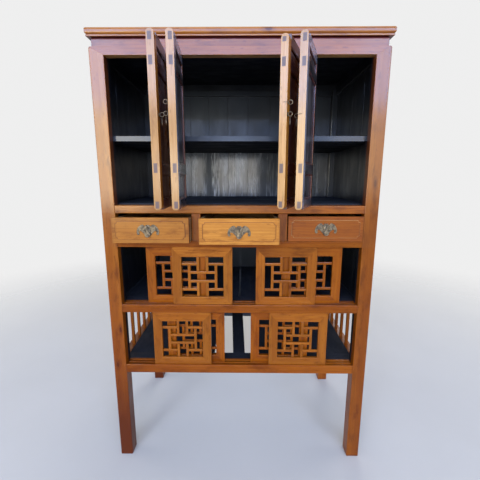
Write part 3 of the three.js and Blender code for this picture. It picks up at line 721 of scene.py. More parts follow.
class Piece:
    """One piece of the cabinet: its sticks and boards in one mesh, each with its own grain."""

    def __init__(self, node, body="case", slot="pine", finish="varnished"):
        self.node, self.body, self.slot, self.finish = node, body, slot, finish
        self.mesh = bpy.data.meshes.new(f"{node}_dressed")
        self.gathered = bmesh.new()
        self.used = []
        self.turn = Matrix.Identity(4)
        self.chance = random.Random(node)
        self.honey = HONEY_AND_PAINTED_LIGHT.get(node, HONEY_ELSEWHERE * self.chance.random())

    def index(self, finish):
        if finish not in self.used:
            self.used.append(finish)
        return self.used.index(finish)

    def take(self, part, along="z", finish=None, smooth=False, cuts=()):
        """Adds a part's mesh with its grain along the given axis, painted by a name or by a rule on faces.

        A cut divides its faces at a plane first, so that a finish can end there."""
        for axis, value in cuts:
            spot, normal = Vector((0, 0, 0)), Vector((0, 0, 0))
            spot["xyz".index(axis)], normal["xyz".index(axis)] = value, 1.0
            geometry = part.verts[:] + part.edges[:] + part.faces[:]
            bmesh.ops.bisect_plane(part, geom=geometry, plane_co=spot, plane_no=normal)
        chosen = finish or self.finish
        mark(part, along, self.honey)
        tone, shade = part.verts.layers.float.new("tone"), self.chance.random()
        for vertex in part.verts:
            vertex[tone] = shade
        part.normal_update()
        for face in part.faces:
            face.material_index = self.index(chosen(face) if callable(chosen) else chosen)
            face.smooth = smooth
        part.transform(self.turn)
        holder = bpy.data.meshes.new("holder")
        part.to_mesh(holder)
        self.gathered.from_mesh(holder)
        bpy.data.meshes.remove(holder)
        part.free()

    def close(self, part, *how, **also):
        """Turns a part's faces outwards and takes it."""
        bmesh.ops.recalc_face_normals(part, faces=part.faces[:])
        self.take(part, *how, **also)

    def bar(self, low, high, along, ease=EASE, finish=None, cuts=()):
        """A square stick or board between two corners."""
        self.take(block(low, high, ease), along, finish, cuts=cuts)

    def row(self, low, high, along, count, step):
        """A row of like sticks, each moved on from the last by a step."""
        stick = block(low, high, PLANK_GAP)
        mark(stick, along, self.honey)
        made = repeat(stick, count, step, self.chance.randint(0, LAST_SEED), FINISHES[self.finish])
        for polygon in made.polygons:
            polygon.material_index = self.index(self.finish)
        self.gathered.from_mesh(made)
        bpy.data.meshes.remove(made)

    def prism(self, points, axis, start, end, along, ease=FINE_EASE, finish=None, cuts=()):
        """An outline carried along an axis. Its points give the other two axes in their order."""
        part = bmesh.new()
        at = "xyz".index(axis)
        corners = []
        for point in points:
            place = list(point)
            place.insert(at, start)
            corners.append(part.verts.new(place))
        side = part.faces.new(corners)
        moved = bmesh.ops.extrude_face_region(part, geom=[side])["geom"]
        travel = [0.0, 0.0, 0.0]
        travel[at] = end - start
        bmesh.ops.translate(part, verts=[v for v in moved if isinstance(v, bmesh.types.BMVert)], vec=travel)
        bmesh.ops.recalc_face_normals(part, faces=part.faces[:])
        if ease:
            sharp = [e for e in part.edges if e.calc_face_angle(0.0) > SHARP]
            bmesh.ops.bevel(part, geom=sharp, offset=ease, segments=2, profile=0.5, affect="EDGES")
        self.take(part, along, finish, cuts=cuts)

    def wire(self, points, radius, normal, closed=False, sides=8):
        """Round wire bent along points that lie in the plane of the given normal."""
        part = bmesh.new()
        points = [Vector(point) for point in points]
        last = len(points) - 1
        rings = []
        for i, spot in enumerate(points):
            before = points[i - 1] if closed or i else spot
            after = points[(i + 1) % len(points)] if closed or i < last else spot
            other = (after - before).normalized().cross(normal)
            rings.append([part.verts.new(corner) for corner in circle(spot, radius, normal, other, sides)])
        for i in range(len(points) if closed else last):
            bridge(part, rings[i], rings[(i + 1) % len(points)])
        if not closed:
            part.faces.new(rings[0])
            part.faces.new(rings[-1][::-1])
        self.close(part, smooth=True)

    def relief(self, outline, back, thick, rim):
        """A plate that faces the front, over an outline of x and z, with a rim of an inset and a rise."""
        part = bmesh.new()
        front = part.faces.new([part.verts.new((x, back, z)) for x, z in outline])
        front.normal_update()
        if front.normal.y > 0:
            front.normal_flip()
        rear = [part.verts.new(v.co) for v in front.verts]
        ring = list(front.verts)
        bmesh.ops.translate(part, verts=ring, vec=(0.0, -thick, 0.0))
        part.faces.new(rear[::-1])
        bridge(part, ring, rear)
        bmesh.ops.inset_region(part, faces=[front], thickness=rim[0], depth=rim[1], use_even_offset=True)
        self.close(part)

    def dome(self, outline, middle, back, rows):
        """A crowned plate that faces the front. Each row is the outline drawn in to a share, and its rise."""
        part = bmesh.new()
        middle = Vector(middle)
        rings = []
        for share, rise in rows:
            ring = [middle.lerp(Vector(point), share) for point in outline]
            rings.append([part.verts.new((p.x, back - rise, p.y)) for p in ring])
        for near, far in zip(rings, rings[1:]):
            bridge(part, near, far)
        part.faces.new(rings[0][::-1])
        part.faces.new(rings[-1])
        self.close(part, smooth=True)

    def mitred(self, profile, corner, end, inward, along, finish=None, tongue=0.0):
        """A moulding with mitred ends from one outer corner to the next. The profile is inward and up.

        The mitre starts past the tongue, whose end is square."""
        part = bmesh.new()
        start, stop, inward = Vector(corner), Vector(end), Vector(inward)
        run = (stop - start).normalized()
        rows = []
        for spot, sign in ((start, 1), (stop, -1)):
            row = []
            for across, up in profile:
                back = run * sign * max(across - tongue, 0.0)
                row.append(part.verts.new(spot + inward * across + back + Vector((0, 0, up))))
            rows.append(row)
        bridge(part, *rows)
        square = [i for i, (across, _) in enumerate(profile) if across <= tongue]
        slanted = [i for i, (across, _) in enumerate(profile) if across >= tongue]
        for order in (square, slanted) if tongue else (slanted,):
            part.faces.new([rows[0][i] for i in order])
            part.faces.new([rows[1][i] for i in reversed(order)])
        self.close(part, along, finish)

    def surround(self, profile, low, high, level, finish):
        """Four mitred mouldings round a rectangle, given by its lowest and highest corners."""
        a, b = (low[0], low[1], level), (high[0], low[1], level)
        c, d = (high[0], high[1], level), (low[0], high[1], level)
        for start, stop, inward, along in (
            (a, b, (0, 1, 0), "x"), (c, d, (0, -1, 0), "x"), (d, a, (1, 0, 0), "y"), (b, c, (-1, 0, 0), "y"),
        ):
            self.mitred(profile, start, stop, inward, along, finish)

    def planks(self, low, high, across, along, count, finish, cuts=()):
        """Boards side by side over a span, with fine gaps."""
        at = "xyz".index(across)
        widths = [1.0 + PLANK_SPREAD * (self.chance.random() - 0.5) for _ in range(count)]
        total, start = sum(widths), low[at]
        for width in widths:
            stop = start + (high[at] - low[at]) * width / total
            a, b = list(low), list(high)
            a[at], b[at] = start, stop
            self.bar(a, b, along, PLANK_GAP, finish, cuts)
            start = stop

    def deck_boards(self, low, high, count=SHELF_PLANKS, finish=None):
        """Boards along the cabinet, notched round the posts at the front and at the back."""
        edges = [low[1] + (high[1] - low[1]) * i / count for i in range(count + 1)]
        for near, far in zip(edges, edges[1:]):
            outline = []
            stops = [near] + [y for y in (POST_BEHIND, REAR_POST_BEFORE) if near < y < far] + [far]
            for y0, y1 in zip(stops, stops[1:]):
                reach = high[0] if POST_BEHIND < (y0 + y1) / 2 < REAR_POST_BEFORE else OPENING_HALF
                outline += [(reach, y0), (reach, y1)]
            mirror = [(-x, y) for x, y in reversed(outline)]
            self.prism(outline + mirror, "z", low[2], high[2], "x", FINE_EASE, finish)

    def finish_piece(self):
        """Makes the object, puts it on its body and lets it stand for its frame node."""
        self.gathered.to_mesh(self.mesh)
        self.gathered.free()
        for name in self.used:
            self.mesh.materials.append(FINISHES[name])
        made = link(self.mesh.name, self.mesh)
        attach(made, self.body)
        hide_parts(self.node)


def begin(node, *how):
    """A new piece, with the corners of the frame node that it stands for."""
    return Piece(node, *how), *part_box(node)


def make_posts():
    deck, waist, seam = RAILS["deck"][0].z, RAILS["waist"][0].z, FRONT + VARNISH_DEPTH
    for line, rear in (("front", 1), ("rear", -1)):
        for side, sign in (("left", -1), ("right", 1)):
            piece, low, high = begin(f"post_{line}_{side}")

            def paint(face):
                middle, normal = face.calc_center_median(), face.normal
                wood_here = "light" if middle.z < deck else "half" if middle.z < waist else "varnished"
                if middle.z < LEG_TOP:
                    return wood_here
                # The front posts' inner faces in the upper openings are painted dark as shade
                if rear > 0 and normal.x * sign < -FACING and middle.y < seam:
                    return "shade_lip" if middle.z > waist else wood_here
                return "black" if normal.x * sign < -FACING or normal.y * rear > FACING else wood_here

            cuts = [("z", LEG_TOP), ("z", deck), ("z", waist)] + ([("y", seam)] if rear > 0 else [])
            outer, inner = (low.x, high.x) if sign < 0 else (high.x, low.x)
            front_view = rounded(
                [(outer, low.z), (inner, low.z), (inner, high.z), (outer, high.z)],
                (ROUND_EASE, ROUND_EASE, 0, POST_CROWN),
            )
            piece.prism(front_view, "y", low.y, high.y, "z", ROUND_EASE, paint, cuts)
            piece.finish_piece()


def make_cap():
    piece, low, high = begin("cap")
    neck_top, board_bottom = low.z + CAP_NECK, low.z + CAP_BAND_TOP
    neck_half = HALF_WIDTH - CAP_NECK_INSET
    # The neck's sides are painted dark as shade in the recess under the cap
    piece.bar(
        (-neck_half, FRONT + CAP_NECK_INSET, low.z), (neck_half, BACK - CAP_NECK_INSET, neck_top), "x", 0,
        facing(DOWN, "dull", "groove"),
    )
    rim, overhang, thick = CAP_RIM, high.x - HALF_WIDTH, high.z - board_bottom
    board = [(rim, 0.0), (rim, thick)]
    board += arc((CAP_NOSE, thick - CAP_NOSE), CAP_NOSE, math.pi / 2, math.pi / 2, 8)
    board += arc((CAP_NOSE, CAP_NOSE), CAP_NOSE, math.pi, math.pi / 2, 8)
    tall = board_bottom - neck_top
    band = [(rim, 0.0), (rim, tall), (CAP_BAND_EASE, tall)]
    band += [(0.0, CAP_BAND_EDGE[1]), (0.0, CAP_BAND_EDGE[0]), (CAP_BAND_EASE, 0.0)]
    # The band's underside is painted dark as shade under the cap's board
    for profile, reach, level, finish in (
        (board, overhang, board_bottom, "varnished"),
        (band, CAP_BAND_REACH, neck_top, facing(DOWN, "groove", "varnished")),
    ):
        corners = (-HALF_WIDTH - reach, FRONT - reach), (HALF_WIDTH + reach, BACK + reach)
        piece.surround(profile, *corners, level, finish)
    near, far = FRONT - overhang + rim, BACK + overhang - rim
    pitch = (far - near) / CAP_PLANKS
    for i in range(CAP_PLANKS):
        piece.bar(
            (low.x + rim, near + i * pitch, high.z - CAP_BOARD),
            (high.x - rim, near + (i + 1) * pitch, high.z),
            "x", PLANK_GAP, facing(DOWN, "black", "bare"),
        )
    piece.finish_piece()


def make_frieze():
    piece, low, high = begin("frieze")
    tall = high.z - low.z
    profile = [(FRIEZE_DEPTH, 0.0), (FRIEZE_DEPTH, tall), (0.0, tall), (0.0, tall - FRIEZE_SHADOW)]
    profile += [(0.0, FRIEZE_GAP * 2), (FRIEZE_GAP, FRIEZE_GAP), (FRIEZE_FOOT, 0.0)]

    def paint(face):
        middle = face.calc_center_median()
        between = low.y + FRIEZE_INSIDE < middle.y < high.y - FRIEZE_INSIDE
        if between and abs(middle.x) < high.x - FRIEZE_INSIDE and abs(face.normal.z) < 0.5:
            return "dull"
        # The top of the frieze is painted dark as the shadow under the cap
        return "groove" if middle.z > high.z - FRIEZE_SHADOW * FRIEZE_SHADOW_SHARE else "varnished"

    piece.surround(profile, low, high, low.z, paint)
    piece.finish_piece()


def make_rails():
    piece, low, high = begin("rail_waist")
    section = [(low.y, low.z), (high.y, low.z), (high.y, high.z), (low.y, high.z)]
    piece.prism(rounded(section, (RAIL_ROUND, 0, 0, RAIL_ROUND)), "x", low.x, high.x, "x")
    piece.finish_piece()
    piece, low, high = begin("rail_top")
    corner = (HALF_WIDTH - FINE_EASE - POST_CROWN, high.z - POST_CROWN)
    crown = arc(corner, POST_CROWN, math.pi / 4, math.pi / 4, 5)
    mitres = [(low.x, low.z), (high.x, low.z)] + crown + [(-x, z) for x, z in reversed(crown)]
    paint = facing(DOWN, "pale", "varnished")
    piece.prism(mitres, "y", low.y - MITRE_PROUD, high.y, "x", FINE_EASE, paint)
    piece.finish_piece()
    for rail, under, over in (("deck", True, False), ("mid", True, True), ("low", False, True)):
        piece, low, high = begin(f"rail_{rail}", "case", "pine", "thin")
        outline = [(low.y, low.z)]
        if under:
            for near, far in TRACK_CUTS:
                outline += groove(FRONT + near, FRONT + far, low.z, low.z + TRACK_TOP_DEPTH)
        outline += [(high.y, low.z), (high.y, high.z)]
        if over:
            for near, far in reversed(TRACK_CUTS):
                outline += groove(FRONT + far, FRONT + near, high.z, high.z - TRACK_LOW_DEPTH)
        outline.append((low.y, high.z))
        radii = [RAIL_ROUND] + [0] * (len(outline) - 2) + [RAIL_ROUND]
        piece.prism(rounded(outline, radii), "x", low.x, high.x, "x")
        piece.finish_piece()


def make_uprights():
    for side in ("left", "right"):
        piece, low, high = begin(f"mullion_{side}")
        outline = [(high.x, high.y), (low.x, high.y)]
        for centre, start in ((low.x + MULLION_ROUND, math.pi), (high.x - MULLION_ROUND, math.pi * 1.5)):
            outline += arc((centre, low.y + MULLION_ROUND), MULLION_ROUND, start, math.pi / 2, 8)
        piece.prism(outline, "z", low.z, high.z, "z")
        piece.finish_piece()
        piece, low, high = begin(f"drawer_partition_{side}")
        behind, middle = FRONT + PARTITION_POST, (low.x + high.x) / 2
        piece.bar(low, (high.x, behind, high.z), "z")
        rear = (middle - PARTITION_HALF, behind, low.z), (middle + PARTITION_HALF, high.y, high.z)
        piece.bar(*rear, "y", FINE_EASE, "bare")
        piece.finish_piece()


def make_sides():
    for side, sign in (("left", -1), ("right", 1)):

        def paint(face):
            outside = face.normal.x * sign > 0.5
            proud = abs(face.calc_center_median().x) > HALF_WIDTH - BOARD_INSET
            return "varnished" if outside or proud else "black"

        def behind(inset, thick):
            return across_to(sign, HALF_WIDTH - inset, HALF_WIDTH - inset - thick)

        rail_x, board_x = behind(SIDE_RAIL_INSET, SIDE_RAIL_DEPTH), behind(BOARD_INSET, SIDE_BOARD)
        near, far = POST_BEHIND, REAR_POST_BEFORE
        for part, rails in (("upper", ("waist", "top")), ("middle", ("mid", "deck"))):
            piece, low, high = begin(f"side_{part}_{side}")
            piece.planks((board_x[0], near, low.z), (board_x[1], far, high.z), "y", "z", SIDE_PLANKS, paint)
            for rail in rails:
                bottom, top = RAILS[rail]
                piece.bar((rail_x[0], near, bottom.z), (rail_x[1], far, top.z), "y", EASE, paint)
            piece.finish_piece()
        piece, low, high = begin(f"side_lower_{side}", "case", "pine", "thin")
        rail_top = RAILS["low"][1].z
        piece.bar((rail_x[0], near, low.z), (rail_x[1], far, rail_top), "y")
        pitch, spindle_x = (far - near) / SPINDLES, behind(SPINDLE_INSET, SPINDLE)
        first = near + pitch / 2
        piece.row(
            (spindle_x[0], first - SPINDLE / 2, rail_top - SPINDLE_FOOT),
            (spindle_x[1], first + SPINDLE / 2, high.z),
            "z", SPINDLES, (0.0, pitch, 0.0),
        )
        piece.finish_piece()


def make_back():
    board_y = (BACK - BOARD_INSET - SIDE_BOARD, BACK - BOARD_INSET)
    rail_y = (BACK - SIDE_RAIL_INSET - SIDE_RAIL_DEPTH, BACK - SIDE_RAIL_INSET)
    shelf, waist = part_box("shelf")[0].z, RAILS["waist"][0].z

    def paint(face):
        if face.normal.y > FACING:
            return "bare"
        # Under the shelf the back boards get pale streaks: scuffs and a painted reflected sheen
        return "scuffs_and_sheen" if waist < face.calc_center_median().z < shelf else "black"

    for part, rails in (("upper", ("waist", "top")), ("middle", ("deck",)), ("lower", ("low", "mid"))):
        piece, low, high = begin(f"back_{part}", "case", "black_lacquer", "black")
        ends = (low.x, board_y[0], low.z), (high.x, board_y[1], high.z)
        piece.planks(*ends, "x", "z", BACK_PLANKS[part], paint, [("z", shelf)] if part == "upper" else ())
        for rail in rails:
            bottom, top = RAILS[rail]
            piece.bar((low.x, rail_y[0], bottom.z), (high.x, rail_y[1], top.z), "x", EASE, paint)
        piece.finish_piece()


def make_decks():
    piece, low, high = begin("shelf", "case", "black_lacquer", "black")

    def paint(face):
        return "dull" if abs(face.normal.z) > FACING else "black"

    piece.deck_boards(low, high, finish=paint)
    piece.finish_piece()
    piece, low, high = begin("cupboard_floor", "case", "black_lacquer", "dull")
    under = RAILS["waist"][1].z
    piece.deck_boards((low.x, low.y, under), high)
    piece.deck_boards(low, (HALF_WIDTH - FLOOR_INSET, BACK - FLOOR_INSET, under), 1)
    piece.finish_piece()
    piece, low, high = begin("drawer_deck", "case", "pine", "bare")
    piece.deck_boards(low, high)
    piece.finish_piece()


def make_row_floors():
    for row, gap in FLOOR_GAPS.items():
        piece, low, high = begin(f"{row}_row_floor", "case", "black_lacquer", "dull")
        near, far = low.y + FRONT_BATTEN, high.y - REAR_BATTEN
        piece.deck_boards(low, (high.x, near, high.z), 1)
        piece.deck_boards((low.x, far, low.z), high, 1)
        for start, stop in ((low.x, gap[0]), (gap[1], high.x)):
            pitch = (stop - start) / FLOOR_SLATS
            ends = (start, near, low.z), (start + pitch, min(far, REAR_POST_BEFORE), high.z)
            piece.row(*ends, "y", FLOOR_SLATS, (pitch, 0.0, 0.0))
        if row == "low":
            slat = [(x, y) for y, pair in zip((near, far), LOOSE_SLAT) for x in pair]
            piece.prism(slat, "z", low.z, high.z, "y")
        piece.finish_piece()


def leaf_turn(name):
    """Where a leaf that is built shut at the origin stands."""
    turned = Matrix.Rotation(math.radians(-LEAF_SIGNS[name] * LEAF_TURNS[name]), 4, "Z")
    return Matrix.Translation(JOINTS[f"door_{name}_pivot"]["pos_m"]) @ turned


def make_leaf(name):
    sign = LEAF_SIGNS[name]
    piece = Piece(f"leaf_{name}", f"door_{name}")
    piece.turn = leaf_turn(name)
    inner_paint = facing(BEHIND, "worn", "maroon", LEANING)
    crown_paint = facing(BEHIND, "grey", "maroon", LEANING)

    def edge_paint(face):
        if face.normal.y > FACING:
            return "grey"
        return "pale" if face.normal.x * sign > 0.5 else "varnished"

    half, inner = LEAF_HALF, LEAF_STILE - LEAF_HALF
    hinge = [(sign * inner, -half), (sign * inner, half)]
    hinge += [(sign * x, y) for x, y in arc((0.0, 0.0), half, math.pi / 2, math.pi, 16)]
    piece.prism(hinge, "z", 0.0, LEAF_HEIGHT, "z", 0, facing(BEHIND, "black", "varnished"))
    foot, crown = STILE_ENDS.get(name, (0.0, 0.0))
    crown = LEAF_HEIGHT - crown
    side = rounded([(-half, foot), (half, foot), (half, crown), (-half, crown)], HORN_RADIUS)
    # The free stile is painted paler, as painted light on its outer face
    piece.honey = STILE_PAINTED_LIGHT
    x0, x1 = across_to(sign, LEAF_FREE - LEAF_STILE, LEAF_FREE - TENON_PROUD)
    piece.prism(side, "x", x0, x1, "z", FINE_EASE, edge_paint)
    piece.honey = 0.0
    r0, r1 = across_to(sign, inner, LEAF_FREE - LEAF_STILE)
    t0, t1 = across_to(sign, LEAF_FREE - TENON_DEPTH, LEAF_FREE)
    tenon_y = (TENON_SHIFT - TENON_WIDTH / 2, TENON_SHIFT + TENON_WIDTH / 2)
    for bottom, top in LEAF_RAILS:
        paint = crown_paint if (bottom, top) == LEAF_RAILS[-1] else inner_paint
        piece.bar((r0, -half, bottom), (r1, half, top), "x", FINE_EASE, paint)
        tenon_low = max(bottom + TENON_SHOULDER, foot + TENON_FROM_ENDS[0])
        tenon_high = min(top - TENON_SHOULDER, crown - TENON_FROM_ENDS[1])
        piece.bar((t0, tenon_y[0], tenon_low), (t1, tenon_y[1], tenon_high), "x", 0, "tenon")
    for bottom, top in LEAF_PANELS:
        thick, field, b = half - LEAF_RECESS, LEAF_FIELD, LEAF_BEAD
        piece.bar((r0, -thick, bottom), (r1, thick, top), "z", FINE_EASE, inner_paint)
        piece.bar(
            (r0 + field, -thick - FIELD_RISE, bottom + field / 2),
            (r1 - field, thick + FIELD_RISE, top - field / 2),
            "z", FIELD_RISE, inner_paint,
        )
        for out in (-1, 1):
            y0, y1 = across_to(out, thick, thick + LEAF_RECESS - BEAD_DROP)
            for low, high, along in (
                ((r0, y0, bottom), (r0 + b, y1, top), "z"),
                ((r1 - b, y0, bottom), (r1, y1, top), "z"),
                ((r0 + b, y0, bottom), (r1 - b, y1, bottom + b), "x"),
                ((r0 + b, y0, top - b), (r1 - b, y1, top), "x"),
            ):
                piece.bar(low, high, along, BEAD_EASE, inner_paint)
    pin = arc((0.0, 0.0), PIN_RADIUS, 0.0, math.tau, 16)[:-1]
    for z0, z1 in ((-PIN_REACH, PIN_ROOT), (LEAF_HEIGHT - PIN_ROOT, LEAF_HEIGHT + PIN_REACH)):
        piece.prism(pin, "z", z0, z1, "z", 0, "bare")
    piece.finish_piece()


def make_drawer(name):
    node = f"drawer_{name}"
    piece, low, high = begin(node, node)
    face = low.y + DRAWER_FIELD
    behind = face + DRAWER_FRONT
    piece.bar((low.x, face, low.z), (high.x, behind, high.z), "x")
    x0, x1 = low.x + DRAWER_MARGIN, high.x - DRAWER_MARGIN
    z0, z1 = low.z + DRAWER_MARGIN, high.z - DRAWER_MARGIN
    n = DRAWER_NOTCH
    outline = [
        (x0 + n, z0), (x1 - n, z0), (x1 - n, z0 + n), (x1, z0 + n), (x1, z1 - n), (x1 - n, z1 - n),
        (x1 - n, z1), (x0 + n, z1), (x0 + n, z1 - n), (x0, z1 - n), (x0, z0 + n), (x0 + n, z0 + n),
    ]
    piece.prism(rounded(outline, NOTCH_ROUND, 3), "y", low.y, face + FIELD_ROOT, "x", FIELD_EASE)
    middle = ((x0 + x1) / 2, (z0 + z1) / 2)
    # The right drawer's line is worn pale and a painted highlight; the others are painted dark as a groove's
    # shade
    line, line_finish = (WORN_HIGHLIGHT_LINE, "pale") if name == "three" else (DRAWER_SHADE_LINE, "shade_lip")
    grown = [
        (x + math.copysign(line, x - middle[0]), z + math.copysign(line, z - middle[1])) for x, z in outline
    ]
    piece.prism(rounded(grown, NOTCH_ROUND, 3), "y", face - LINE_PROUD, face + FIELD_ROOT, "x", 0, line_finish)
    left, right, back = low.x + DRAWER_WALL, high.x - DRAWER_WALL, high.y - DRAWER_WALL
    wall_top = high.z - DRAWER_WALL_DROP
    for start, stop, along in (
        ((low.x, behind), (left, high.y), "y"),
        ((right, behind), (high.x, high.y), "y"),
        ((left, back), (right, high.y), "x"),
    ):
        piece.bar((*start, low.z), (*stop, wall_top), along, FINE_EASE, "bare")
    bottom, top = (low.z + level for level in DRAWER_FLOOR)
    piece.planks((left, behind, bottom), (right, back, top), "y", "x", DRAWER_PLANKS, "bare")
    piece.finish_piece()


def frame_section(wide, thick, tongue=0.0):
    """A lattice frame's section from its outer edge in: rounded inside, and marked where the mitre starts."""
    outline = [(0.0, thick), (0.0, 0.0)] + ([(tongue, 0.0)] if tongue else []) + [(wide, 0.0), (wide, thick)]
    radii = [FINE_EASE] * 2 + ([0] if tongue else []) + [FRAME_ROUND, FRAME_ROUND]
    if tongue:
        outline.append((tongue, thick))
        radii.append(0)
    return [(point[0], point[1]) for point in rounded(outline, radii)]


def make_lattice(node):
    piece, low, high = begin(node, node, "pine", "thin")
    bottom, top = low.z + PANEL_BOTTOM_RAIL, high.z - PANEL_TOP_RAIL
    x0, x1, thick = low.x + PANEL_STILE, high.x - PANEL_STILE, high.y - low.y

    # The frame is laid out flat, with its face upwards, and then stood up
    piece.turn = Matrix.Rotation(math.pi / 2, 4, "X")
    tongue, foot = PANEL_TOP_RAIL - PANEL_STILE, PANEL_STILE - PANEL_BOTTOM_RAIL
    left, right, base, head, under = low.x, high.x, low.z - foot, high.z - tongue, -high.y
    stile = frame_section(PANEL_STILE, thick)
    piece.mitred(stile, (left, head, under), (left, base, under), (1, 0, 0), "y")
    piece.mitred(stile, (right, base, under), (right, head, under), (-1, 0, 0), "y")
    rail = frame_section(PANEL_TOP_RAIL, thick, tongue)
    piece.mitred(rail, (right, high.z, under), (left, high.z, under), (0, -1, 0), "x", tongue=tongue)
    piece.mitred(stile, (left, base, under), (right, base, under), (0, 1, 0), "x")
    piece.turn = Matrix.Identity(4)
    y0, y1 = low.y + LATTICE_SETBACK, low.y + LATTICE_SETBACK + LATTICE_DEPTH
    half = LATTICE_BAR / 2

    def across(share):
        return x0 + share * (x1 - x0)

    def up(share):
        return bottom + share * (top - bottom)

    def upright(share, start, stop):
        piece.bar((across(share) - half, y0, start), (across(share) + half, y1, stop), "z", LATTICE_EASE)

    def level(share, start, stop):
        piece.bar((start, y0, up(share) - half), (stop, y1, up(share) + half), "x", LATTICE_EASE)

    a, b = OUTER_BAR_SHARE, INNER_BAR_SHARE
    for share in (b, 1 - b):
        upright(share, bottom, up(b))
        upright(share, up(1 - b), top)
        level(share, across(a), across(1 - a))
    for share in (a, 1 - a):
        upright(share, up(a), up(1 - a))
        level(share, x0, across(b))
        level(share, across(1 - b), x1)
    piece.finish_piece()


def split_ring(piece, x, face, z, radius=RING_RADIUS):
    """A ring on a split pin that comes out of a face, over a domed rosette. The face looks along -Y."""
    out = face - RING_STANDOFF
    piece.wire(circle((x, out, z), radius, FORWARD, UP), RING_WIRE, SIDEWAYS, True)
    for shift in (-LEG_SPREAD, LEG_SPREAD):
        leg = [(x, face + LEG_ROOT, z + shift), (x, out + radius - LEG_GAP, z + shift)]
        piece.wire(leg, LEG_WIRE, SIDEWAYS)
    rosette = [(x + p.x, z + p.z) for p in circle((0, 0, 0), ROSETTE_RADIUS, SIDEWAYS, UP, 16)]
    piece.dome(rosette, (x, z), face, ROSETTE_ROWS)


def make_leaf_brass(name):
    swing, hinge = JOINTS[f"door_{name}_pull_swing"], JOINTS[f"door_{name}_pivot"]
    turn = leaf_turn(name)
    middle = turn.inverted() @ Vector(swing["pos_m"])
    x, z, face = middle.x, middle.z, -LEAF_HALF
    for node, rise in ((f"leaf_{name}_ring", 0.0), (f"leaf_{name}_lock_ring", LOCK_RISE)):
        if node not in frame["nodes"]:
            continue
        piece = Piece(node, f"door_{name}", "brass", "brass")
        piece.turn = turn
        split_ring(piece, x, face, z + rise)
        if CLENCHES.get(name) == rise:
            edge = LEAF_SIGNS[name] * (LEAF_FREE + CLENCH_PROUD)
            leg = [(edge, face + CLENCH_START, z + rise), (edge, CLENCH_START, z + rise + CLENCH_RISE)]
            piece.wire(leg, CLENCH_WIRE, UP)
        piece.finish_piece()
    piece, low, high = begin(f"leaf_{name}_drop", swing["child"], "brass", "brass")
    piece.turn = turn
    y, base = face - RING_STANDOFF, hinge["pos_m"][2]
    eye, foot = high.z - base - EYE_TOP, low.z - base
    piece.wire(circle((x, y, eye), EYE_RADIUS, SIDEWAYS, UP, 14), LOOP_EYE_WIRE, BEHIND, True)
    top = eye - EYE_RADIUS
    loop = []
    for i in range(20):
        turned = math.tau * i / 20
        drop = (1 - math.cos(turned)) / 2
        wide = LOOP_HALF * math.sin(turned) * drop ** LOOP_SWELL
        loop.append((x + wide, y, top - drop * (top - foot - LOOP_WIRE)))
    piece.wire(loop, LOOP_WIRE, BEHIND, True)
    piece.finish_piece()


def make_drawer_brass(name):
    piece, low, high = begin(f"drawer_{name}_plate", f"drawer_{name}", "brass", "brass")
    drop_low, drop_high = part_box(f"drawer_{name}_drop")
    middle, face = (low.x + high.x) / 2, high.y
    eye = drop_high.z - EYE_TOP

    def spot(across, up):
        return middle + across * BAT_HALF, low.z + up * BAT_TALL

    half = [spot(*share) for share in BAT_OUTLINE]
    outline = half + [(2 * middle - x, z) for x, z in half[-2:0:-1]]
    piece.relief(outline, face, BAT_THICK, BAT_RIM)
    for side in (-1, 1):
        for rib in BAT_RIBS:
            flat = [spot(side * across, up) for across, up in rib]
            piece.wire([(x, face - RIB_LIFT, z) for x, z in flat], RIB_WIRE, BEHIND, sides=6)
    turns = [math.tau * i / 20 for i in range(20)]
    body = [spot(BODY_REACH[0] * math.sin(t), BODY_UP + BODY_REACH[1] * math.cos(t)) for t in turns]
    piece.dome(body, spot(0.0, BODY_UP), face - BODY_LIFT, BODY_ROWS)
    split_ring(piece, middle, face - ROSETTE_LIFT, eye + EYE_FALL, PLATE_RING_RADIUS)
    piece.finish_piece()

    pull = JOINTS[f"drawer_{name}_pull_swing"]
    piece = Piece(f"drawer_{name}_drop", pull["child"], "brass", "brass")
    y = (drop_low.y + drop_high.y) / 2
    piece.wire(circle((middle, y, eye), EYE_RADIUS, SIDEWAYS, UP, 14), LOOP_WIRE, BEHIND, True)
    top, wide = eye - EYE_RADIUS + DROP_OVERLAP, (drop_high.x - drop_low.x) / 2
    belly = (middle, drop_low.z + wide)
    neck = [(reach, top - share * (top - drop_low.z)) for reach, share in DROP_NECK]
    tear = [(middle - reach, level) for reach, level in neck] + arc(belly, wide, *DROP_BELLY, 16)
    tear += [(middle + reach, level) for reach, level in reversed(neck)]
    piece.dome(tear, belly, y + DROP_BACK, DROP_ROWS)
    piece.finish_piece()


def make_cabinet():
    for make in (
        make_posts, make_cap, make_frieze, make_rails, make_uprights, make_sides, make_back, make_decks,
        make_row_floors,
    ):
        make()
    drawers = ("one", "two", "three")
    for make, names in ((make_leaf, "abcd"), (make_drawer, drawers)):
        for name in names:
            make(name)
    for row in ("high", "low"):
        for where in ("far_left", "near_left", "near_right", "far_right"):
            make_lattice(f"panel_{row}_{where}")
    for make, names in ((make_leaf_brass, "abcd"), (make_drawer_brass, drawers)):
        for name in names:
            make(name)


def add_camera():
    ahead = Vector((math.sin(YAW) * math.cos(PITCH), math.cos(YAW) * math.cos(PITCH), -math.sin(PITCH)))
    right = Vector((math.cos(YAW), -math.sin(YAW), 0.0))
    down = ahead.cross(right)
    level = right * math.cos(ROLL) + down * math.sin(ROLL)
    below = down * math.cos(ROLL) - right * math.sin(ROLL)
    data = bpy.data.cameras.new("camera")
    camera = link("camera", data)
    turn = Matrix((level, -below, -ahead)).transposed().to_4x4()
    camera.matrix_world = Matrix.Translation(CAMERA_PLACE) @ turn
    data.sensor_width = SENSOR
    data.lens = FOCAL_PIXELS / PHOTO_PIXELS * SENSOR
    data.shift_y = SHIFT_PIXELS / PHOTO_PIXELS
    bpy.context.scene.camera = camera


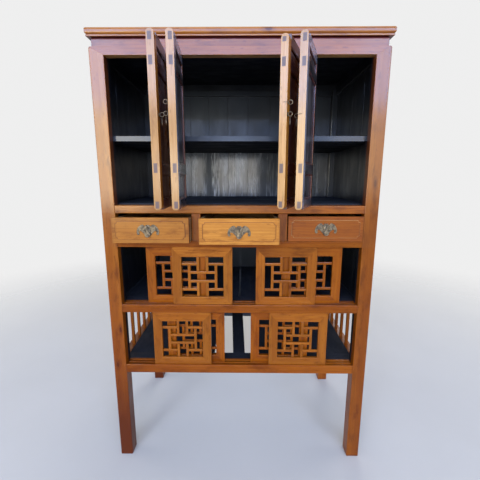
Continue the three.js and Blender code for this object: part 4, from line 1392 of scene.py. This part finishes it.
def add_lamp(name, place, target, size, power, colour):
    data = bpy.data.lights.new(name, "AREA")
    data.shape, data.size, data.size_y = "RECTANGLE", size[0], size[1]
    data.energy, data.color = power, colour
    lamp = link(name, data)
    lamp.location = place
    lamp.visible_camera = False
    lamp.rotation_euler = (Vector(target) - Vector(place)).to_track_quat("-Z", "Y").to_euler()


def add_lights():
    for name, x, bottom, top, width, level, colour in PANELS:
        middle, size = (bottom + top) / 2, (width, top - bottom)
        target = (x * PANELS_AIM_SHARE, FRONT, min(middle, PANELS_AIM_TOP))
        power = level * math.pi * size[0] * size[1]
        add_lamp(name, (x, FRONT - PANELS_BEFORE, middle), target, size, power, colour)
    for lamp in LAMPS:
        add_lamp(*lamp)


def add_floor():
    part = bmesh.new()
    bmesh.ops.create_circle(part, cap_ends=True, segments=64, radius=FLOOR_RADIUS)
    mesh = bpy.data.meshes.new("floor")
    part.to_mesh(mesh)
    part.free()
    f = Finish("pale_floor")
    place = f.place()
    f.set(Base_Color=f.mix(f.noise(place, 2.0, 2.0, 5.0), *FLOOR_GREYS), Roughness=0.7)
    out = f.node("ShaderNodeVectorMath", {0: place}, operation="LENGTH").outputs["Value"]
    clear = f.node("ShaderNodeBsdfTransparent").outputs[0]
    fade = f.node("ShaderNodeMixShader", {0: f.step(out, *FLOOR_FADE), 1: f.shader.outputs[0], 2: clear})
    f.tree.links.new(fade.outputs[0], f.tree.nodes["Material Output"].inputs["Surface"])
    mesh.materials.append(f.material)
    link("floor", mesh)


def add_room():
    """Dim light from all round, and a pale backdrop for the camera, for reflections and through glass."""
    world = bpy.data.worlds.new("room")
    bpy.context.scene.world = world
    world.use_nodes = True
    n = Nodes(world.node_tree)
    paths = n.node("ShaderNodeLightPath").outputs
    seen = paths["Is Camera Ray"]
    for ray in ("Is Glossy Ray", "Is Transmission Ray"):
        seen = n.math("MAXIMUM", seen, paths[ray])
    background = n.tree.nodes["Background"].inputs
    n.feed(background["Color"], n.mix(seen, ROOM_LIGHT, ROOM_SEEN))
    background["Strength"].default_value = 1.0


add_camera()
make_cabinet()
add_floor()
add_room()
add_lights()
bpy.context.scene.view_settings.view_transform = "Standard"
